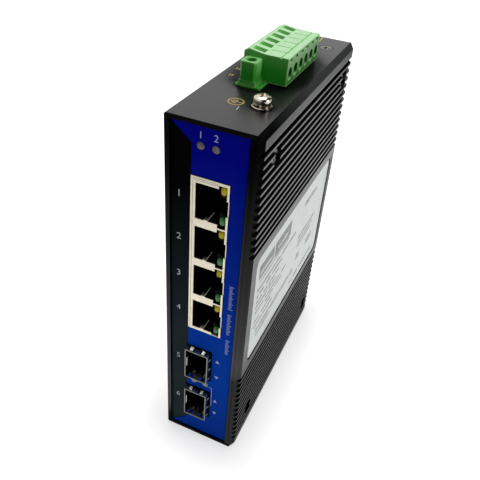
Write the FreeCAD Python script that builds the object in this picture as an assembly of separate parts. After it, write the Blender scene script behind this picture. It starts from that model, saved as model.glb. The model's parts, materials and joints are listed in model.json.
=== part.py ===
import FreeCAD, Part
import math
import os

# Slim rail-mounted ethernet switch. Lengths are in millimetres.
# The pieces are laid out from the case's left, front and bottom faces: X to the right, Y to the back, Z up.
# Every piece is then moved so that the origin is the middle of the case's underside.

V = FreeCAD.Vector
X_AXIS = V(1, 0, 0)
Y_AXIS = V(0, 1, 0)
Z_AXIS = V(0, 0, 1)

# Case
wall = 1.5                      # folded steel sheet
fold_radius = 0.8               # outside of the folds
case_depth = 91.0
fit = 0.15                      # clearance round a piece that drops into place
thread_gap = 0.05               # clearance round a screw in its own hole
seen_sides = 24                 # faces round a small lamp or screw that shows
hidden_sides = 12               # faces round a pin or screw inside the case

# Stack across the case, from the left wall to the cover
standoff_height = 5.3
board_thickness = 1.6
jack_width = 12.4
cover_clearance = 5.1           # between the jacks and the cover
cover_plate = 1.8               # part of the cover that drops into the case

# Stack up the front, from the bottom to the top
base_margin = 13.1
cage_height = 14.6
cage_spacing = 7.4              # between the two cages
cage_to_jacks = 9.7
jack_count = 4
jack_pitch = 15.24
jack_end = 0.12                 # shield beyond the first and last jack
jacks_to_lamps = 9.7
lamps_to_top = 7.7

# Side cover
cover_rise = 1.8                # part of the cover that stands outside, chamfered all round
rib_pitch = 2.89
groove_width = 1.8
groove_depth = 1.25
groove_corner = 0.5             # sloped corners in the bottom of a groove
plain_strip = 3.0               # least smooth strip between the ribs and the chamfer
pad_height = 55.2               # smooth pad between the two groups of ribs
label_side_margin = 6.0         # pad edge to label recess, front and back
label_end_margin = 3.8          # pad edge to label recess, top and bottom
label_recess = 0.5
label_corner = 3.2
label_thickness = 0.2
label_border = 0.6              # recess showing round the label
cover_screw_front = 13.0        # from the front edge
cover_screw_back = 9.0          # from the back edge
cover_screw_end = 11.8          # from the top and bottom edges

# Countersunk screws
screw_radius = 1.5
sunk_head_radius = 2.75
sunk_head_height = 1.25
sunk_screw_length = 7.0
cover_screw_depth = 1.1         # head below the rib crests
case_screw_length = 4.5

# Angle brackets inside the case
bracket_sheet = 1.5
bracket_foot = 7.0
bracket_length = 17.0
bracket_end_margin = 4.0        # from the front edge or the back wall
bracket_past_screw = 4.0        # bracket above the cover screw

# Front panel and its film
panel_recess = 0.8
panel_thickness = 1.0
panel_return = 6.0              # folded edges at the top and bottom
film_thickness = 0.25
film_side_margin = 0.3
film_stripe = 6.6               # black stripe at the left, beside the film
film_slant = 5.4                # height of the slanted ends of the stripe

# Jack block
jack_proud = 0.5                # ahead of the panel
jack_length = 21.5
jack_shell = 0.3
jack_mouth_depth = 7.4
jack_mouth_height = 12.4
jack_mouth_drop = 0.45          # mouth's middle below the jack's middle
jack_mouth_offset = 1.6         # from the board side of the block
jack_cavity_length = 15.0
latch_width = 5.4
latch_length = 9.0
lamp_bay_depth = 2.7
lamp_bay_divider = 0.55         # shield left between the lamp bays of two jacks
lamp_bay_length = 1.2
lamp_bay_drop = 0.5             # bays' middle below the jack's middle
lamp_bay_lip = 0.2              # shield left under the lowest bay
jack_lamp_width = 2.0
jack_lamp_height = 3.0
jack_lamp_shift = 0.2           # lamps towards the right of their bay
upper_lamp_edge = 0.1           # upper lamp from the end of its bay
lower_lamp_edge = 1.05          # lower lamp from the end of its bay
jack_lamp_reach = 0.3           # lamps ahead of the shield
housing_gap = 0.1               # plastic inside the shield
jack_lamp_nose = 0.6
across_share = 0.5              # largest share of an axis in an edge that runs across it
contact_count = 8
contact_pitch = 1.02
contact_width = 0.4
contact_sheet = 0.3
contact_start = 6.0             # behind the block's front
contact_run = 8.0
contact_lift = 3.0
ground_tab_width = 1.4
ground_tab_length = 7.0
ground_tab_lift = 0.5
ground_tab_offset = 2.9         # from the mouth's board side
seam_width = 0.16               # pressed lines in the shield's front
seam_depth = 0.12
seam_inset = 0.4                # line's end from the block's edge
upper_seam_drop = 0.6           # below the block's top
lower_seam_drop = 1.15
side_seam_offset = 0.7          # from the block's board side

# Module cages
cage_width = 9.1
cage_length = 48.0
cage_proud = 2.7                # ahead of the panel
cage_sheet = 0.35
finger_window = 4.0
finger_reach = 3.6
finger_rise_run = 1.25
finger_crest_run = 0.9
finger_tip_lift = 0.1
finger_setback = 0.55           # behind the cage's front edge
finger_width = 1.1
finger_gap = 0.6
finger_bow = 0.5
strip_setback = 1.3             # inner grounding strip behind the cage's front edge
strip_rise_run = 0.5
strip_crest_run = 1.2
strip_bow = 0.3
strip_height = 4.6
short_finger_count = 2
long_finger_count = 3
socket_length = 9.0
socket_height = 6.0
socket_margin = 0.5
socket_slot = 1.6
socket_slot_depth = 6.0

# Round lamps and their holders
lamp_radius = 1.25
lamp_offset = 2.7               # first lamp from the board
lamp_spacing = 4.7
lamp_reach = 0.5                # lamp ahead of the panel
lamp_nose = 0.6
lamp_hole_gap = 0.1
holder_width = 4.4
holder_length = 5.0
holder_top = 2.2                # holder beyond the second lamp

# Circuit board
board_front_gap = 1.2           # behind the panel
board_back_gap = 3.0
board_end_gap = 3.5             # from the case's top and bottom walls
standoff_radius = 2.4
standoff_hole = 1.2
spacer_sides = 6
board_screw_head_radius = 2.3
board_screw_head_height = 1.6
board_screw_length = 5.0
board_screw_edge = 4.4          # from the board's edges
board_screw_top_front = 11.0    # front upper screw behind the board's front edge

# Terminal header
header_front = 27.9
header_width = 8.1
header_rise = 0.55              # above the case's top
header_drop = 11.0              # below the case's top
header_wall = 1.3
header_floor = 2.6
header_slot_gap = 0.25
flange_length = 5.65
flange_bite = 0.3               # plug tower behind the header's end
pole_count = 6
pole_pitch = 5.0
pin_size = 1.0
pin_top_gap = 2.0               # pin tip below the header's rim
pin_tail = 0.6                  # pin beyond the board
pin_gap = 0.1

# Terminal plug
plug_width = 14.3
plug_height = 8.45
ridge_rise = 0.8                # sloped pocket side above the plug's flat top
ridge_offset = 1.4              # ridge from the plug's left side
slope_width = 6.9               # left side to the end of the slope
nose_gap = 0.25
nose_length = 6.5
pocket_offset = 2.1
pocket_width = 4.1
pocket_length = 2.9
pocket_depth = 6.4
groove_line = 0.35              # moulded lines on the plug's top
strip_width = 2.6               # smooth strip beside the moulded lines
driver_hole_radius = 1.6
driver_hole_stretch = 0.4       # each half of the hole drawn up or down
driver_hole_drop = 5.0          # below the plug's top
test_slot_width = 2.2
test_slot_height = 0.9
test_slot_drop = 1.0            # below the plug's top
test_slot_depth = 2.0
tower_offset = 1.0              # from the header's board side
tower_width = 5.3
tower_height = 7.05
tower_edge = 0.7
plinth_step = 0.12              # each of the two steps at a tower's foot
plinth_rise = 0.67
tower_hole_radius = 1.6
clamp_sheet = 0.4
clamp_height = 3.0
clamp_screw_radius = 1.25
clamp_head_radius = 1.5
clamp_head_height = 1.4
clamp_head_depth = 4.0          # head inside the driver hole
flange_screw_radius = 1.2
flange_head_radius = 1.5
flange_head_height = 1.4
flange_head_depth = 3.2         # head below the tower's top
flange_screw_length = 8.0

# Grounding point
ground_side = 6.0               # from the case's right edge
ground_front = 17.2
ground_head_radius = 2.6
ground_head_height = 2.2
ground_head_edge = 0.7
ground_screw_length = 5.0
flat_washer_radius = 3.0
flat_washer_height = 0.6
spring_washer_radius = 2.55
spring_washer_height = 0.85
spring_washer_split = 0.6
washer_gap = 0.1

# Case screw in the top
case_screw_side = 6.0           # from the case's right edge
case_screw_back = 12.3          # from the back

# Rail clip on the back
rail_height = 35.0
rail_play = 0.6
clip_width = 20.0
clip_plate = 3.0
clip_lip = 1.6
rail_slot = 2.2                 # room for the rail's edge
clip_upper_hook = 4.6
clip_lower_hook = 2.2
clip_upper_overlap = 3.4
clip_lower_overlap = 1.4
clip_screw_spacing = 22.0
clip_screw_length = 5.0
spring_sheet = 0.4
spring_bow = 0.9
spring_end_gap = 1.0

# Parts on the board
part_gap = 0.02                 # solder film under a part
chip_size = 14.0
chip_height = 1.4
chip_front = 58.0
chip_bottom = 62.0
heatsink_base = 1.5
heatsink_fin = 4.5
heatsink_fin_count = 6
heatsink_fin_sheet = 1.0
magnetic_length = 9.5
magnetic_width = 12.0
magnetic_height = 5.6
magnetic_behind = 3.0           # behind the jack block
capacitor_radius = 4.0
capacitor_height = 11.0
capacitor_spacing = 10.0
capacitor_count = 2
capacitor_gap = 2.0             # behind the choke
capacitor_drop = 24.0           # below the case's top
choke_size = 10.0
choke_height = 8.0
choke_gap = 1.7                 # behind the transformers
choke_drop = 24.0
inductor_size = 10.0
inductor_height = 5.0
inductor_back = 10.0            # from the board's back edge
inductor_drop = 42.0            # below the case's top
power_chip_length = 6.0
power_chip_width = 5.0
power_chip_height = 1.6
power_chip_gap = 2.0            # ahead of the inductor
memory_length = 5.0
memory_width = 4.0
memory_height = 1.5
memory_front = 60.0
memory_bottom = 46.0
crystal_length = 5.0
crystal_width = 3.2
crystal_height = 1.1
crystal_front = 48.0
crystal_bottom = 72.0

# Positions that follow from the sizes above
board_left = wall + standoff_height
board_right = board_left + board_thickness
cover_inside = board_right + jack_width + cover_clearance
case_width = cover_inside + cover_plate
cover_outside = case_width + cover_rise
jack_block_height = jack_count * jack_pitch + 2 * jack_end
cage_low_bottom = base_margin
cage_high_bottom = cage_low_bottom + cage_height + cage_spacing
jacks_bottom = cage_high_bottom + cage_height + cage_to_jacks
jacks_top = jacks_bottom + jack_block_height
link_lamp_z = cage_low_bottom + cage_height + cage_spacing / 2
status_lamp_z = jacks_top + jacks_to_lamps
case_height = status_lamp_z + lamps_to_top
inner_top = case_height - wall
inner_back = case_depth - wall
panel_front = panel_recess
panel_back = panel_front + panel_thickness
film_front = panel_front - film_thickness
jack_front = panel_front - jack_proud
jack_right = board_right + jack_width
jack_mouth_left = board_right + jack_mouth_offset
jack_mouth_right = jack_mouth_left + jack_mouth_depth
lamp_bay_right = jack_mouth_right + lamp_bay_depth
cage_front = panel_front - cage_proud
cage_right = board_right + cage_width
board_front = panel_back + board_front_gap
board_back = inner_back - board_back_gap
board_bottom = wall + board_end_gap
board_top = inner_top - board_end_gap
part_seat = board_right + part_gap
magnetic_front = jack_front + jack_length + magnetic_behind
choke_front = magnetic_front + magnetic_length + choke_gap
capacitor_front = choke_front + choke_size + capacitor_gap + capacitor_radius
header_left = board_right
header_right = header_left + header_width
header_length = pole_count * pole_pitch + 2 * flange_length
header_back = header_front + header_length
header_top = case_height + header_rise
header_bottom = case_height - header_drop
plug_front = header_front + flange_length
plug_back = plug_front + pole_count * pole_pitch
plug_right = header_left + plug_width
plug_top = header_top + plug_height
slope_end = header_left + slope_width
pocket_left = header_left + pocket_offset
pocket_right = pocket_left + pocket_width
pin_x = header_left + header_width / 2
driver_z = plug_top - driver_hole_drop
tower_left = header_left + tower_offset
tower_x = tower_left + tower_width / 2
ground_x = case_width - ground_side
case_screw_x = case_width - case_screw_side
inductor_front = board_back - inductor_back - inductor_size
power_bottom = case_height - inductor_drop
clip_z = case_height / 2
clip_x = case_width / 2
clip_seat = case_depth + clip_plate
origin_shift = V(-case_width / 2, -case_depth / 2, 0)


def box(x0, x1, y0, y1, z0, z1):
    """Block between two corners."""
    return Part.makeBox(x1 - x0, y1 - y0, z1 - z0, V(x0, y0, z0))


def rod(start, direction, radius, length):
    """Round bar from a point along a direction."""
    return Part.makeCylinder(radius, length, start, direction)


def flat_face(points):
    """Flat face inside an outline of points."""
    return Part.Face(Part.makePolygon(points + [points[0]]))


def ring(centre, direction, radius, sides):
    """Corners of a many-sided outline square to a direction."""
    across = X_AXIS if abs(direction.dot(X_AXIS)) < 0.5 else Y_AXIS
    other = direction.cross(across)
    points = []
    for k in range(sides):
        turn = 2 * math.pi * k / sides
        points.append(centre + across * (radius * math.cos(turn)) + other * (radius * math.sin(turn)))
    return points


def bar(start, direction, radius, length, sides):
    """Small bar with a set number of faces round it."""
    return prism(ring(start, direction, radius, sides), direction * length)


def taper(start, direction, radius, end_radius, length, sides):
    """Small taper with a set number of flat faces round it."""
    near = ring(start, direction, radius, sides)
    far = ring(start + direction * length, direction, end_radius, sides)
    faces = [flat_face(near), flat_face(far)]
    for k in range(sides):
        faces.append(flat_face([near[k - 1], near[k], far[k], far[k - 1]]))
    return Part.Solid(Part.Shell(faces))


def prism(points, sweep):
    """Flat outline of points swept along a vector."""
    return flat_face(points).extrude(sweep)


def rounded_block(x0, x1, y0, y1, z0, z1, direction, radius):
    """Block whose edges along one direction are rounded."""
    block = box(x0, x1, y0, y1, z0, z1)
    edges = []
    for edge in block.Edges:
        along = edge.tangentAt(edge.FirstParameter)
        if abs(along.dot(direction)) > 0.5:
            edges.append(edge)
    return block.makeFillet(radius, edges)


def joined(shapes):
    """One solid from shapes that meet."""
    return shapes[0].fuse(shapes[1:]).removeSplitter()


def save(name, shapes):
    """Write one node, moved to the middle of the case's underside."""
    shape = shapes if isinstance(shapes, Part.Shape) else Part.makeCompound(shapes)
    shape = shape.copy()
    shape.translate(origin_shift)
    shape.exportStep(os.path.join("parts", name + ".step"))


def sunk_screw(head_centre, inward, length):
    """Countersunk screw; head_centre lies on the head's flat face."""
    head = taper(head_centre, inward, sunk_head_radius, screw_radius, sunk_head_height, seen_sides)
    neck = head_centre + inward * sunk_head_height
    shank = bar(neck, inward, screw_radius, length - sunk_head_height, hidden_sides)
    return joined([head, shank])


def sunk_hole(head_centre, inward, length, mouth):
    """Cutter for a countersunk hole, with a straight mouth above the head."""
    wide = sunk_head_radius + thread_gap
    narrow = screw_radius + thread_gap
    head = taper(head_centre, inward, wide, narrow, sunk_head_height, seen_sides)
    shank = bar(head_centre, inward, narrow, length, hidden_sides)
    above = bar(head_centre - inward * mouth, inward, wide, mouth, seen_sides)
    return head.fuse([shank, above])


def cover_screw_heads():
    """Centres of the four cover screw heads."""
    x = cover_outside - cover_screw_depth
    centres = []
    for y in (cover_screw_front, case_depth - cover_screw_back):
        for z in (cover_screw_end, case_height - cover_screw_end):
            centres.append(V(x, y, z))
    return centres


def case_screw_head():
    """Head centre of the countersunk screw in the case's top."""
    return V(case_screw_x, case_depth - case_screw_back, case_height)


def clip_screw_heads():
    """Head centres of the screws that hold the rail clip."""
    centres = []
    for step in (-0.5, 0.5):
        centres.append(V(clip_x, clip_seat, clip_z + step * clip_screw_spacing))
    return centres


def jack_centres():
    """Heights of the jacks' middles, from the lowest up."""
    first = jacks_bottom + jack_end + jack_pitch / 2
    return [first + k * jack_pitch for k in range(jack_count)]


def pole_centres():
    """Positions of the terminal poles along the header."""
    return [plug_front + (k + 0.5) * pole_pitch for k in range(pole_count)]


def lamp_centres():
    """Distances of the two lamps of a pair from the left wall."""
    return [board_right + lamp_offset, board_right + lamp_offset + lamp_spacing]


def cage_bottoms():
    """Undersides of the lower and upper cage."""
    return [cage_low_bottom, cage_high_bottom]


def header_outline(gap):
    """Block round the header's sides, grown by a gap, through the case's top."""
    return box(
        header_left - gap, header_right + gap,
        header_front - gap, header_back + gap,
        inner_top - wall, case_height + header_rise,
    )


def make_chassis():
    """Folded sheet: left wall, top, bottom and back, open at the front and the right."""
    outer = box(0, case_width, 0, case_depth, 0, case_height)
    folds = []
    for edge in outer.Edges:
        middle = edge.CenterOfMass
        at_left = middle.x < wall and middle.y > wall
        at_back = middle.y > inner_back and middle.x < case_width - wall
        if at_left or at_back:
            folds.append(edge)
    outer = outer.makeFillet(fold_radius, folds)
    hollow = box(wall, case_width, 0, inner_back, wall, inner_top)
    cutters = [hollow, header_outline(header_slot_gap)]
    cutters.append(sunk_hole(case_screw_head(), -Z_AXIS, case_screw_length, fit))
    hole = screw_radius + thread_gap
    cutters.append(bar(V(ground_x, ground_front, inner_top), Z_AXIS, hole, wall, hidden_sides))
    for centre in clip_screw_heads():
        cutters.append(bar(V(centre.x, inner_back, centre.z), Y_AXIS, hole, wall, hidden_sides))
    return outer.cut(cutters)


def chamfered_field():
    """Outer part of the cover: full outline at the case, drawn in by the chamfer at the crests."""
    rings = []
    for x, inset in ((case_width, 0), (cover_outside, cover_rise)):
        y0, y1 = inset, case_depth - inset
        z0, z1 = inset, case_height - inset
        corners = [V(x, y0, z0), V(x, y1, z0), V(x, y1, z1), V(x, y0, z1), V(x, y0, z0)]
        rings.append(Part.makePolygon(corners))
    return Part.makeLoft(rings, True, True)


def rib_grooves():
    """Cutters for both groups of grooves, run out through the front and back."""
    pad_top = (case_height + pad_height) / 2
    room = case_height - cover_rise - plain_strip - pad_top
    count = int((room + rib_pitch - groove_width) / rib_pitch)
    floor_x = cover_outside - groove_depth
    mouth_x = cover_outside + groove_depth
    cutters = []
    for k in range(count):
        z = pad_top + k * rib_pitch
        for low in (z, case_height - z - groove_width):
            high = low + groove_width
            profile = [
                V(mouth_x, 0, low),
                V(floor_x + groove_corner, 0, low),
                V(floor_x, 0, low + groove_corner),
                V(floor_x, 0, high - groove_corner),
                V(floor_x + groove_corner, 0, high),
                V(mouth_x, 0, high),
            ]
            cutters.append(prism(profile, Y_AXIS * case_depth))
    return cutters


def label_block(border, x0, x1):
    """Rounded block on the pad, smaller than the recess by a border."""
    half = (pad_height / 2) - label_end_margin - border
    middle = case_height / 2
    return rounded_block(
        x0, x1,
        label_side_margin + border, case_depth - label_side_margin - border,
        middle - half, middle + half, X_AXIS, label_corner - border,
    )


def make_side_cover():
    """Ribbed cover: an inner plate between the case's walls and a chamfered, grooved outer field."""
    plate = box(cover_inside, case_width, 0, inner_back - fit, wall + fit, inner_top - fit)
    cover = joined([chamfered_field(), plate])
    cutters = rib_grooves()
    cutters.append(label_block(0, cover_outside - label_recess, cover_outside + label_recess))
    for centre in cover_screw_heads():
        cutters.append(sunk_hole(centre, -X_AXIS, sunk_screw_length, cover_screw_depth))
    return cover.cut(cutters)


def make_rating_label():
    """Blank label on the recess floor."""
    floor_x = cover_outside - label_recess
    return label_block(label_border, floor_x, floor_x + label_thickness)


def make_cover_brackets():
    """Four angle brackets behind the cover's corners."""
    leg = cover_screw_end + bracket_past_screw - wall
    starts = (bracket_end_margin, inner_back - bracket_end_margin - bracket_length)
    brackets = []
    for start in starts:
        for upper in (False, True):
            profile = [
                V(cover_inside, start, 0),
                V(cover_inside, start, leg),
                V(cover_inside - bracket_sheet, start, leg),
                V(cover_inside - bracket_sheet, start, bracket_sheet),
                V(cover_inside - bracket_foot, start, bracket_sheet),
                V(cover_inside - bracket_foot, start, 0),
            ]
            seat = inner_top if upper else wall
            way = -1 if upper else 1
            points = [V(p.x, p.y, seat + way * p.z) for p in profile]
            brackets.append(prism(points, Y_AXIS * bracket_length))
    holes = []
    hole = screw_radius + thread_gap
    for centre in cover_screw_heads():
        holes.append(bar(centre, -X_AXIS, hole, sunk_screw_length, hidden_sides))
    holes.append(bar(case_screw_head(), -Z_AXIS, hole, case_screw_length, hidden_sides))
    ground_seat = V(ground_x, ground_front, case_height)
    holes.append(bar(ground_seat, -Z_AXIS, hole, ground_screw_length, hidden_sides))
    return [bracket.cut(holes) for bracket in brackets]


def panel_openings(y0, y1):
    """Cutters for what stands through the panel and its film."""
    cutters = [
        box(board_right - fit, jack_right + fit, y0, y1, jacks_bottom - fit, jacks_top + fit),
    ]
    for low in cage_bottoms():
        cutters.append(
            box(
                board_right - fit - finger_bow, cage_right + fit + finger_bow,
                y0, y1, low - fit - finger_bow, low + cage_height + fit + finger_bow,
            )
        )
    for z in (status_lamp_z, link_lamp_z):
        for x in lamp_centres():
            cutters.append(bar(V(x, y0, z), Y_AXIS, lamp_radius + lamp_hole_gap, y1 - y0, seen_sides))
    return cutters


def make_front_panel():
    """Recessed plate with its top and bottom edges folded back."""
    x0, x1 = wall + fit, cover_inside - fit
    z0, z1 = wall + fit, inner_top - fit
    plate = box(x0, x1, panel_front, panel_back, z0, z1)
    returns = []
    right = cover_inside - bracket_foot - fit
    for low in (z0, z1 - panel_thickness):
        returns.append(box(x0, right, panel_back, panel_back + panel_return, low, low + panel_thickness))
    panel = joined([plate] + returns)
    return panel.cut(panel_openings(panel_front, panel_back))


def make_front_overlay():
    """Film over the panel, cut away along a slant-ended stripe at the left."""
    left = wall + film_side_margin
    right = cover_inside - film_side_margin
    low = wall + film_side_margin
    high = inner_top - film_side_margin
    stripe = left + film_stripe
    outline = [
        V(left, film_front, low),
        V(right, film_front, low),
        V(right, film_front, high),
        V(left, film_front, high),
        V(stripe, film_front, high - film_slant),
        V(stripe, film_front, low + film_slant),
    ]
    film = prism(outline, Y_AXIS * film_thickness)
    return film.cut(panel_openings(film_front, panel_front))


def lamp_bay_ends(z):
    """Lower and upper end of the lamp bays of the jack at a height."""
    half = (jack_pitch - lamp_bay_divider) / 2
    middle = z - lamp_bay_drop
    return max(middle - half, jacks_bottom + lamp_bay_lip), middle + half


def jack_front_cutters(y0, y1):
    """Mouths of the jacks with their latch notches and lamp bays, seen from the front."""
    cutters = []
    for z in jack_centres():
        middle = z - jack_mouth_drop
        mouth = box(
            jack_mouth_left, jack_mouth_right + jack_shell, y0, y1,
            middle - jack_mouth_height / 2, middle + jack_mouth_height / 2,
        )
        bays = box(jack_mouth_right, lamp_bay_right, y0, y1, *lamp_bay_ends(z))
        notch = box(
            lamp_bay_right, jack_right, y0, y1, middle - latch_width / 2, middle + latch_width / 2,
        )
        cutters.append(joined([mouth, bays, notch]))
    return cutters


def shield_seams():
    """Fine pressed lines in the front of the shield: two along its top and one up its board side."""
    floor = jack_front + seam_depth
    left = board_right + seam_inset
    seams = []
    for drop in (upper_seam_drop, lower_seam_drop):
        z = jacks_top - drop
        seams.append(box(left, jack_mouth_right, jack_front, floor, z - seam_width / 2, z + seam_width / 2))
    x = board_right + side_seam_offset
    seams.append(box(
        x - seam_width / 2, x + seam_width / 2, jack_front, floor,
        jacks_bottom + seam_inset, jacks_top - lower_seam_drop - seam_inset,
    ))
    return seams


def make_jack_shield():
    """Folded metal can over the jack block, with a grounding tab in each mouth."""
    back = jack_front + jack_length
    can = box(board_right, jack_right, jack_front, back, jacks_bottom, jacks_top)
    hollow = box(
        board_right, jack_right - jack_shell, jack_front + jack_shell, back - jack_shell,
        jacks_bottom + jack_shell, jacks_top - jack_shell,
    )
    can = can.cut([hollow] + jack_front_cutters(jack_front, jack_front + jack_shell) + shield_seams())
    x0 = jack_mouth_left + ground_tab_offset
    tabs = []
    for z in jack_centres():
        low = z - jack_mouth_drop - jack_mouth_height / 2
        far = jack_front + ground_tab_length
        profile = [
            V(x0, jack_front, low),
            V(x0, jack_front + jack_shell, low),
            V(x0, far, low + ground_tab_lift),
            V(x0, far, low + ground_tab_lift + jack_shell),
            V(x0, jack_front, low + jack_shell),
        ]
        tabs.append(prism(profile, X_AXIS * ground_tab_width))
    return joined([can] + tabs)


def jack_lamp_seats():
    """Middles of the noses of the upper and lower lamp of every jack."""
    half = jack_lamp_height / 2
    x = (jack_mouth_right + lamp_bay_right) / 2 + jack_lamp_shift
    y = jack_front - jack_lamp_reach
    upper = []
    lower = []
    for z in jack_centres():
        low, high = lamp_bay_ends(z)
        upper.append(V(x, y, high - half - upper_lamp_edge))
        lower.append(V(x, y, low + half + lower_lamp_edge))
    return upper, lower


def make_jack_housing():
    """Plastic block inside the shield with one stepped cavity for each jack."""
    gap = jack_shell + housing_gap
    front = jack_front + jack_shell
    block = box(
        board_right, jack_right - gap, front + housing_gap, jack_front + jack_length - gap,
        jacks_bottom + gap, jacks_top - gap,
    )
    cutters = []
    for z in jack_centres():
        middle = z - jack_mouth_drop
        cavity = box(
            jack_mouth_left, jack_mouth_right, front, front + jack_cavity_length,
            middle - jack_mouth_height / 2, middle + jack_mouth_height / 2,
        )
        latch = box(
            jack_mouth_right, jack_right, front, front + latch_length,
            middle - latch_width / 2, middle + latch_width / 2,
        )
        bays = box(
            jack_mouth_right, lamp_bay_right, front, front + lamp_bay_length, *lamp_bay_ends(z),
        )
        cutters.append(joined([cavity, latch, bays]))
    return block.cut(cutters)


def make_jack_lamps(seats):
    """Small rectangular lamps with rounded noses."""
    half = jack_lamp_width / 2
    lamps = []
    for seat in seats:
        back = jack_front + jack_shell + lamp_bay_length
        lamp = box(
            seat.x - half, seat.x + half, seat.y, back,
            seat.z - jack_lamp_height / 2, seat.z + jack_lamp_height / 2,
        )
        nose = []
        for edge in lamp.Edges:
            level = edge.CenterOfMass.y < seat.y + jack_lamp_nose
            across = abs(edge.tangentAt(edge.FirstParameter).dot(Y_AXIS)) < across_share
            if level and across:
                nose.append(edge)
        lamps.append(lamp.makeChamfer(jack_lamp_nose, nose))
    return lamps


def make_jack_contacts():
    """Sloping contact springs on the board side of every cavity."""
    start = jack_front + contact_start
    contacts = []
    for z in jack_centres():
        for k in range(contact_count):
            step = (k - contact_count / 2) * contact_pitch
            low = z - jack_mouth_drop + step + (contact_pitch - contact_width) / 2
            profile = [
                V(jack_mouth_left, start, low),
                V(jack_mouth_left, start + contact_sheet * 2, low),
                V(jack_mouth_left + contact_lift, start + contact_run, low),
                V(jack_mouth_left + contact_lift, start + contact_run - contact_sheet * 2, low),
            ]
            contacts.append(prism(profile, Z_AXIS * contact_width))
    return contacts


def finger_spans(length, count):
    """Middles of evenly spread fingers along a side."""
    return [length * (k + 0.5) / count for k in range(count)]


def bowed_strip(base, along, outward, width, bends):
    """Sheet strip of a width that follows (run, lift) bends behind a point of the wall it is part of."""
    profile = [base + Y_AXIS * run + outward * lift for run, lift in bends]
    thickness = [point - outward * cage_sheet for point in reversed(profile)]
    return prism(profile + thickness, along * width)


def cage_side(origin, along, outward, length, count):
    """Windows and bowed spring fingers on one side of a cage."""
    window_half = finger_width / 2 + finger_gap
    crest_end = finger_rise_run + finger_crest_run
    bends = ((0, 0), (finger_rise_run, finger_bow), (crest_end, finger_bow), (finger_reach, finger_tip_lift))
    windows = []
    fingers = []
    for middle in finger_spans(length, count):
        centre = origin + along * middle + Y_AXIS * finger_setback
        corners = []
        for side, run in ((-1, 0), (1, 0), (1, finger_window), (-1, finger_window)):
            corners.append(centre + along * (side * window_half) + Y_AXIS * run - outward * cage_sheet)
        windows.append(prism(corners, outward * (2 * cage_sheet)))
        fingers.append(bowed_strip(centre - along * (finger_width / 2), along, outward, finger_width, bends))
    return windows, fingers


def cage_inner_strip(low):
    """Grounding strip pressed inward from the board-side wall of a cage, just inside its mouth."""
    crest_end = strip_rise_run + strip_crest_run
    bends = ((0, 0), (strip_rise_run, strip_bow), (crest_end, strip_bow), (crest_end + strip_rise_run, 0))
    middle = low + cage_height / 2
    base = V(board_right + cage_sheet, cage_front + strip_setback, middle - strip_height / 2)
    return bowed_strip(base, Z_AXIS, X_AXIS, strip_height, bends)


def make_cage(low):
    """Folded module cage with spring fingers round its mouth."""
    high = low + cage_height
    back = cage_front + cage_length
    tube = box(board_right, cage_right, cage_front, back, low, high)
    hollow = box(
        board_right + cage_sheet, cage_right - cage_sheet, cage_front, back - cage_sheet,
        low + cage_sheet, high - cage_sheet,
    )
    socket_way = box(
        board_right, board_right + cage_sheet,
        back - socket_length - 3 * socket_margin, back - socket_margin,
        low + 2 * socket_margin, high - 2 * socket_margin,
    )
    sides = [
        cage_side(V(board_right, cage_front, high), X_AXIS, Z_AXIS, cage_width, short_finger_count),
        cage_side(V(board_right, cage_front, low), X_AXIS, -Z_AXIS, cage_width, short_finger_count),
        cage_side(V(cage_right, cage_front, low), Z_AXIS, X_AXIS, cage_height, long_finger_count),
        cage_side(V(board_right, cage_front, low), Z_AXIS, -X_AXIS, cage_height, long_finger_count),
    ]
    windows = []
    fingers = []
    for side_windows, side_fingers in sides:
        windows.extend(side_windows)
        fingers.extend(side_fingers)
    return joined([tube.cut([hollow, socket_way] + windows)] + fingers + [cage_inner_strip(low)])


def make_module_socket(low):
    """Edge socket on the board, inside a cage's back end."""
    back = cage_front + cage_length - 2 * socket_margin
    front = back - socket_length
    margin = 3 * socket_margin
    body = box(part_seat, part_seat + socket_height, front, back, low + margin, low + cage_height - margin)
    middle = part_seat + socket_height / 2
    slot = box(
        middle - socket_slot / 2, middle + socket_slot / 2, front, front + socket_slot_depth,
        low + 2 * margin, low + cage_height - 2 * margin,
    )
    return body.cut(slot)


def make_lamps(z):
    """Two round lamps of a pair, with tapered noses, on the front of their holder."""
    front = panel_front - lamp_reach
    barrel_front = front + lamp_nose
    lamps = []
    for x in lamp_centres():
        nose = taper(V(x, front, z), Y_AXIS, lamp_radius - lamp_nose, lamp_radius, lamp_nose, seen_sides)
        barrel = bar(V(x, barrel_front, z), Y_AXIS, lamp_radius, board_front - barrel_front, seen_sides)
        lamps.append(joined([nose, barrel]))
    return lamps


def make_lamp_holder(z):
    """Plastic block on the board that carries a pair of lamps."""
    high = lamp_centres()[-1] + lamp_radius + holder_top
    return box(
        part_seat, high, board_front, board_front + holder_length,
        z - holder_width / 2, z + holder_width / 2,
    )


def standoff_points():
    """Board screw positions as Y and Z."""
    return [
        (board_front + board_screw_edge, board_bottom + board_screw_edge),
        (board_back - board_screw_edge, board_bottom + board_screw_edge),
        (board_back - board_screw_edge, board_top - board_screw_edge),
        (board_front + board_screw_top_front, board_top - board_screw_edge),
    ]


def make_main_board():
    """Upright circuit board."""
    board = box(board_left, board_right, board_front, board_back, board_bottom, board_top)
    holes = []
    bore = standoff_hole + thread_gap
    for y, z in standoff_points():
        holes.append(bar(V(board_left, y, z), X_AXIS, bore, board_thickness, hidden_sides))
    half = pin_size / 2 + pin_gap
    tail_z = header_bottom - pin_size
    for y in pole_centres():
        holes.append(box(board_left, board_right, y - half, y + half, tail_z - half, tail_z + half))
    return board.cut(holes)


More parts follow.
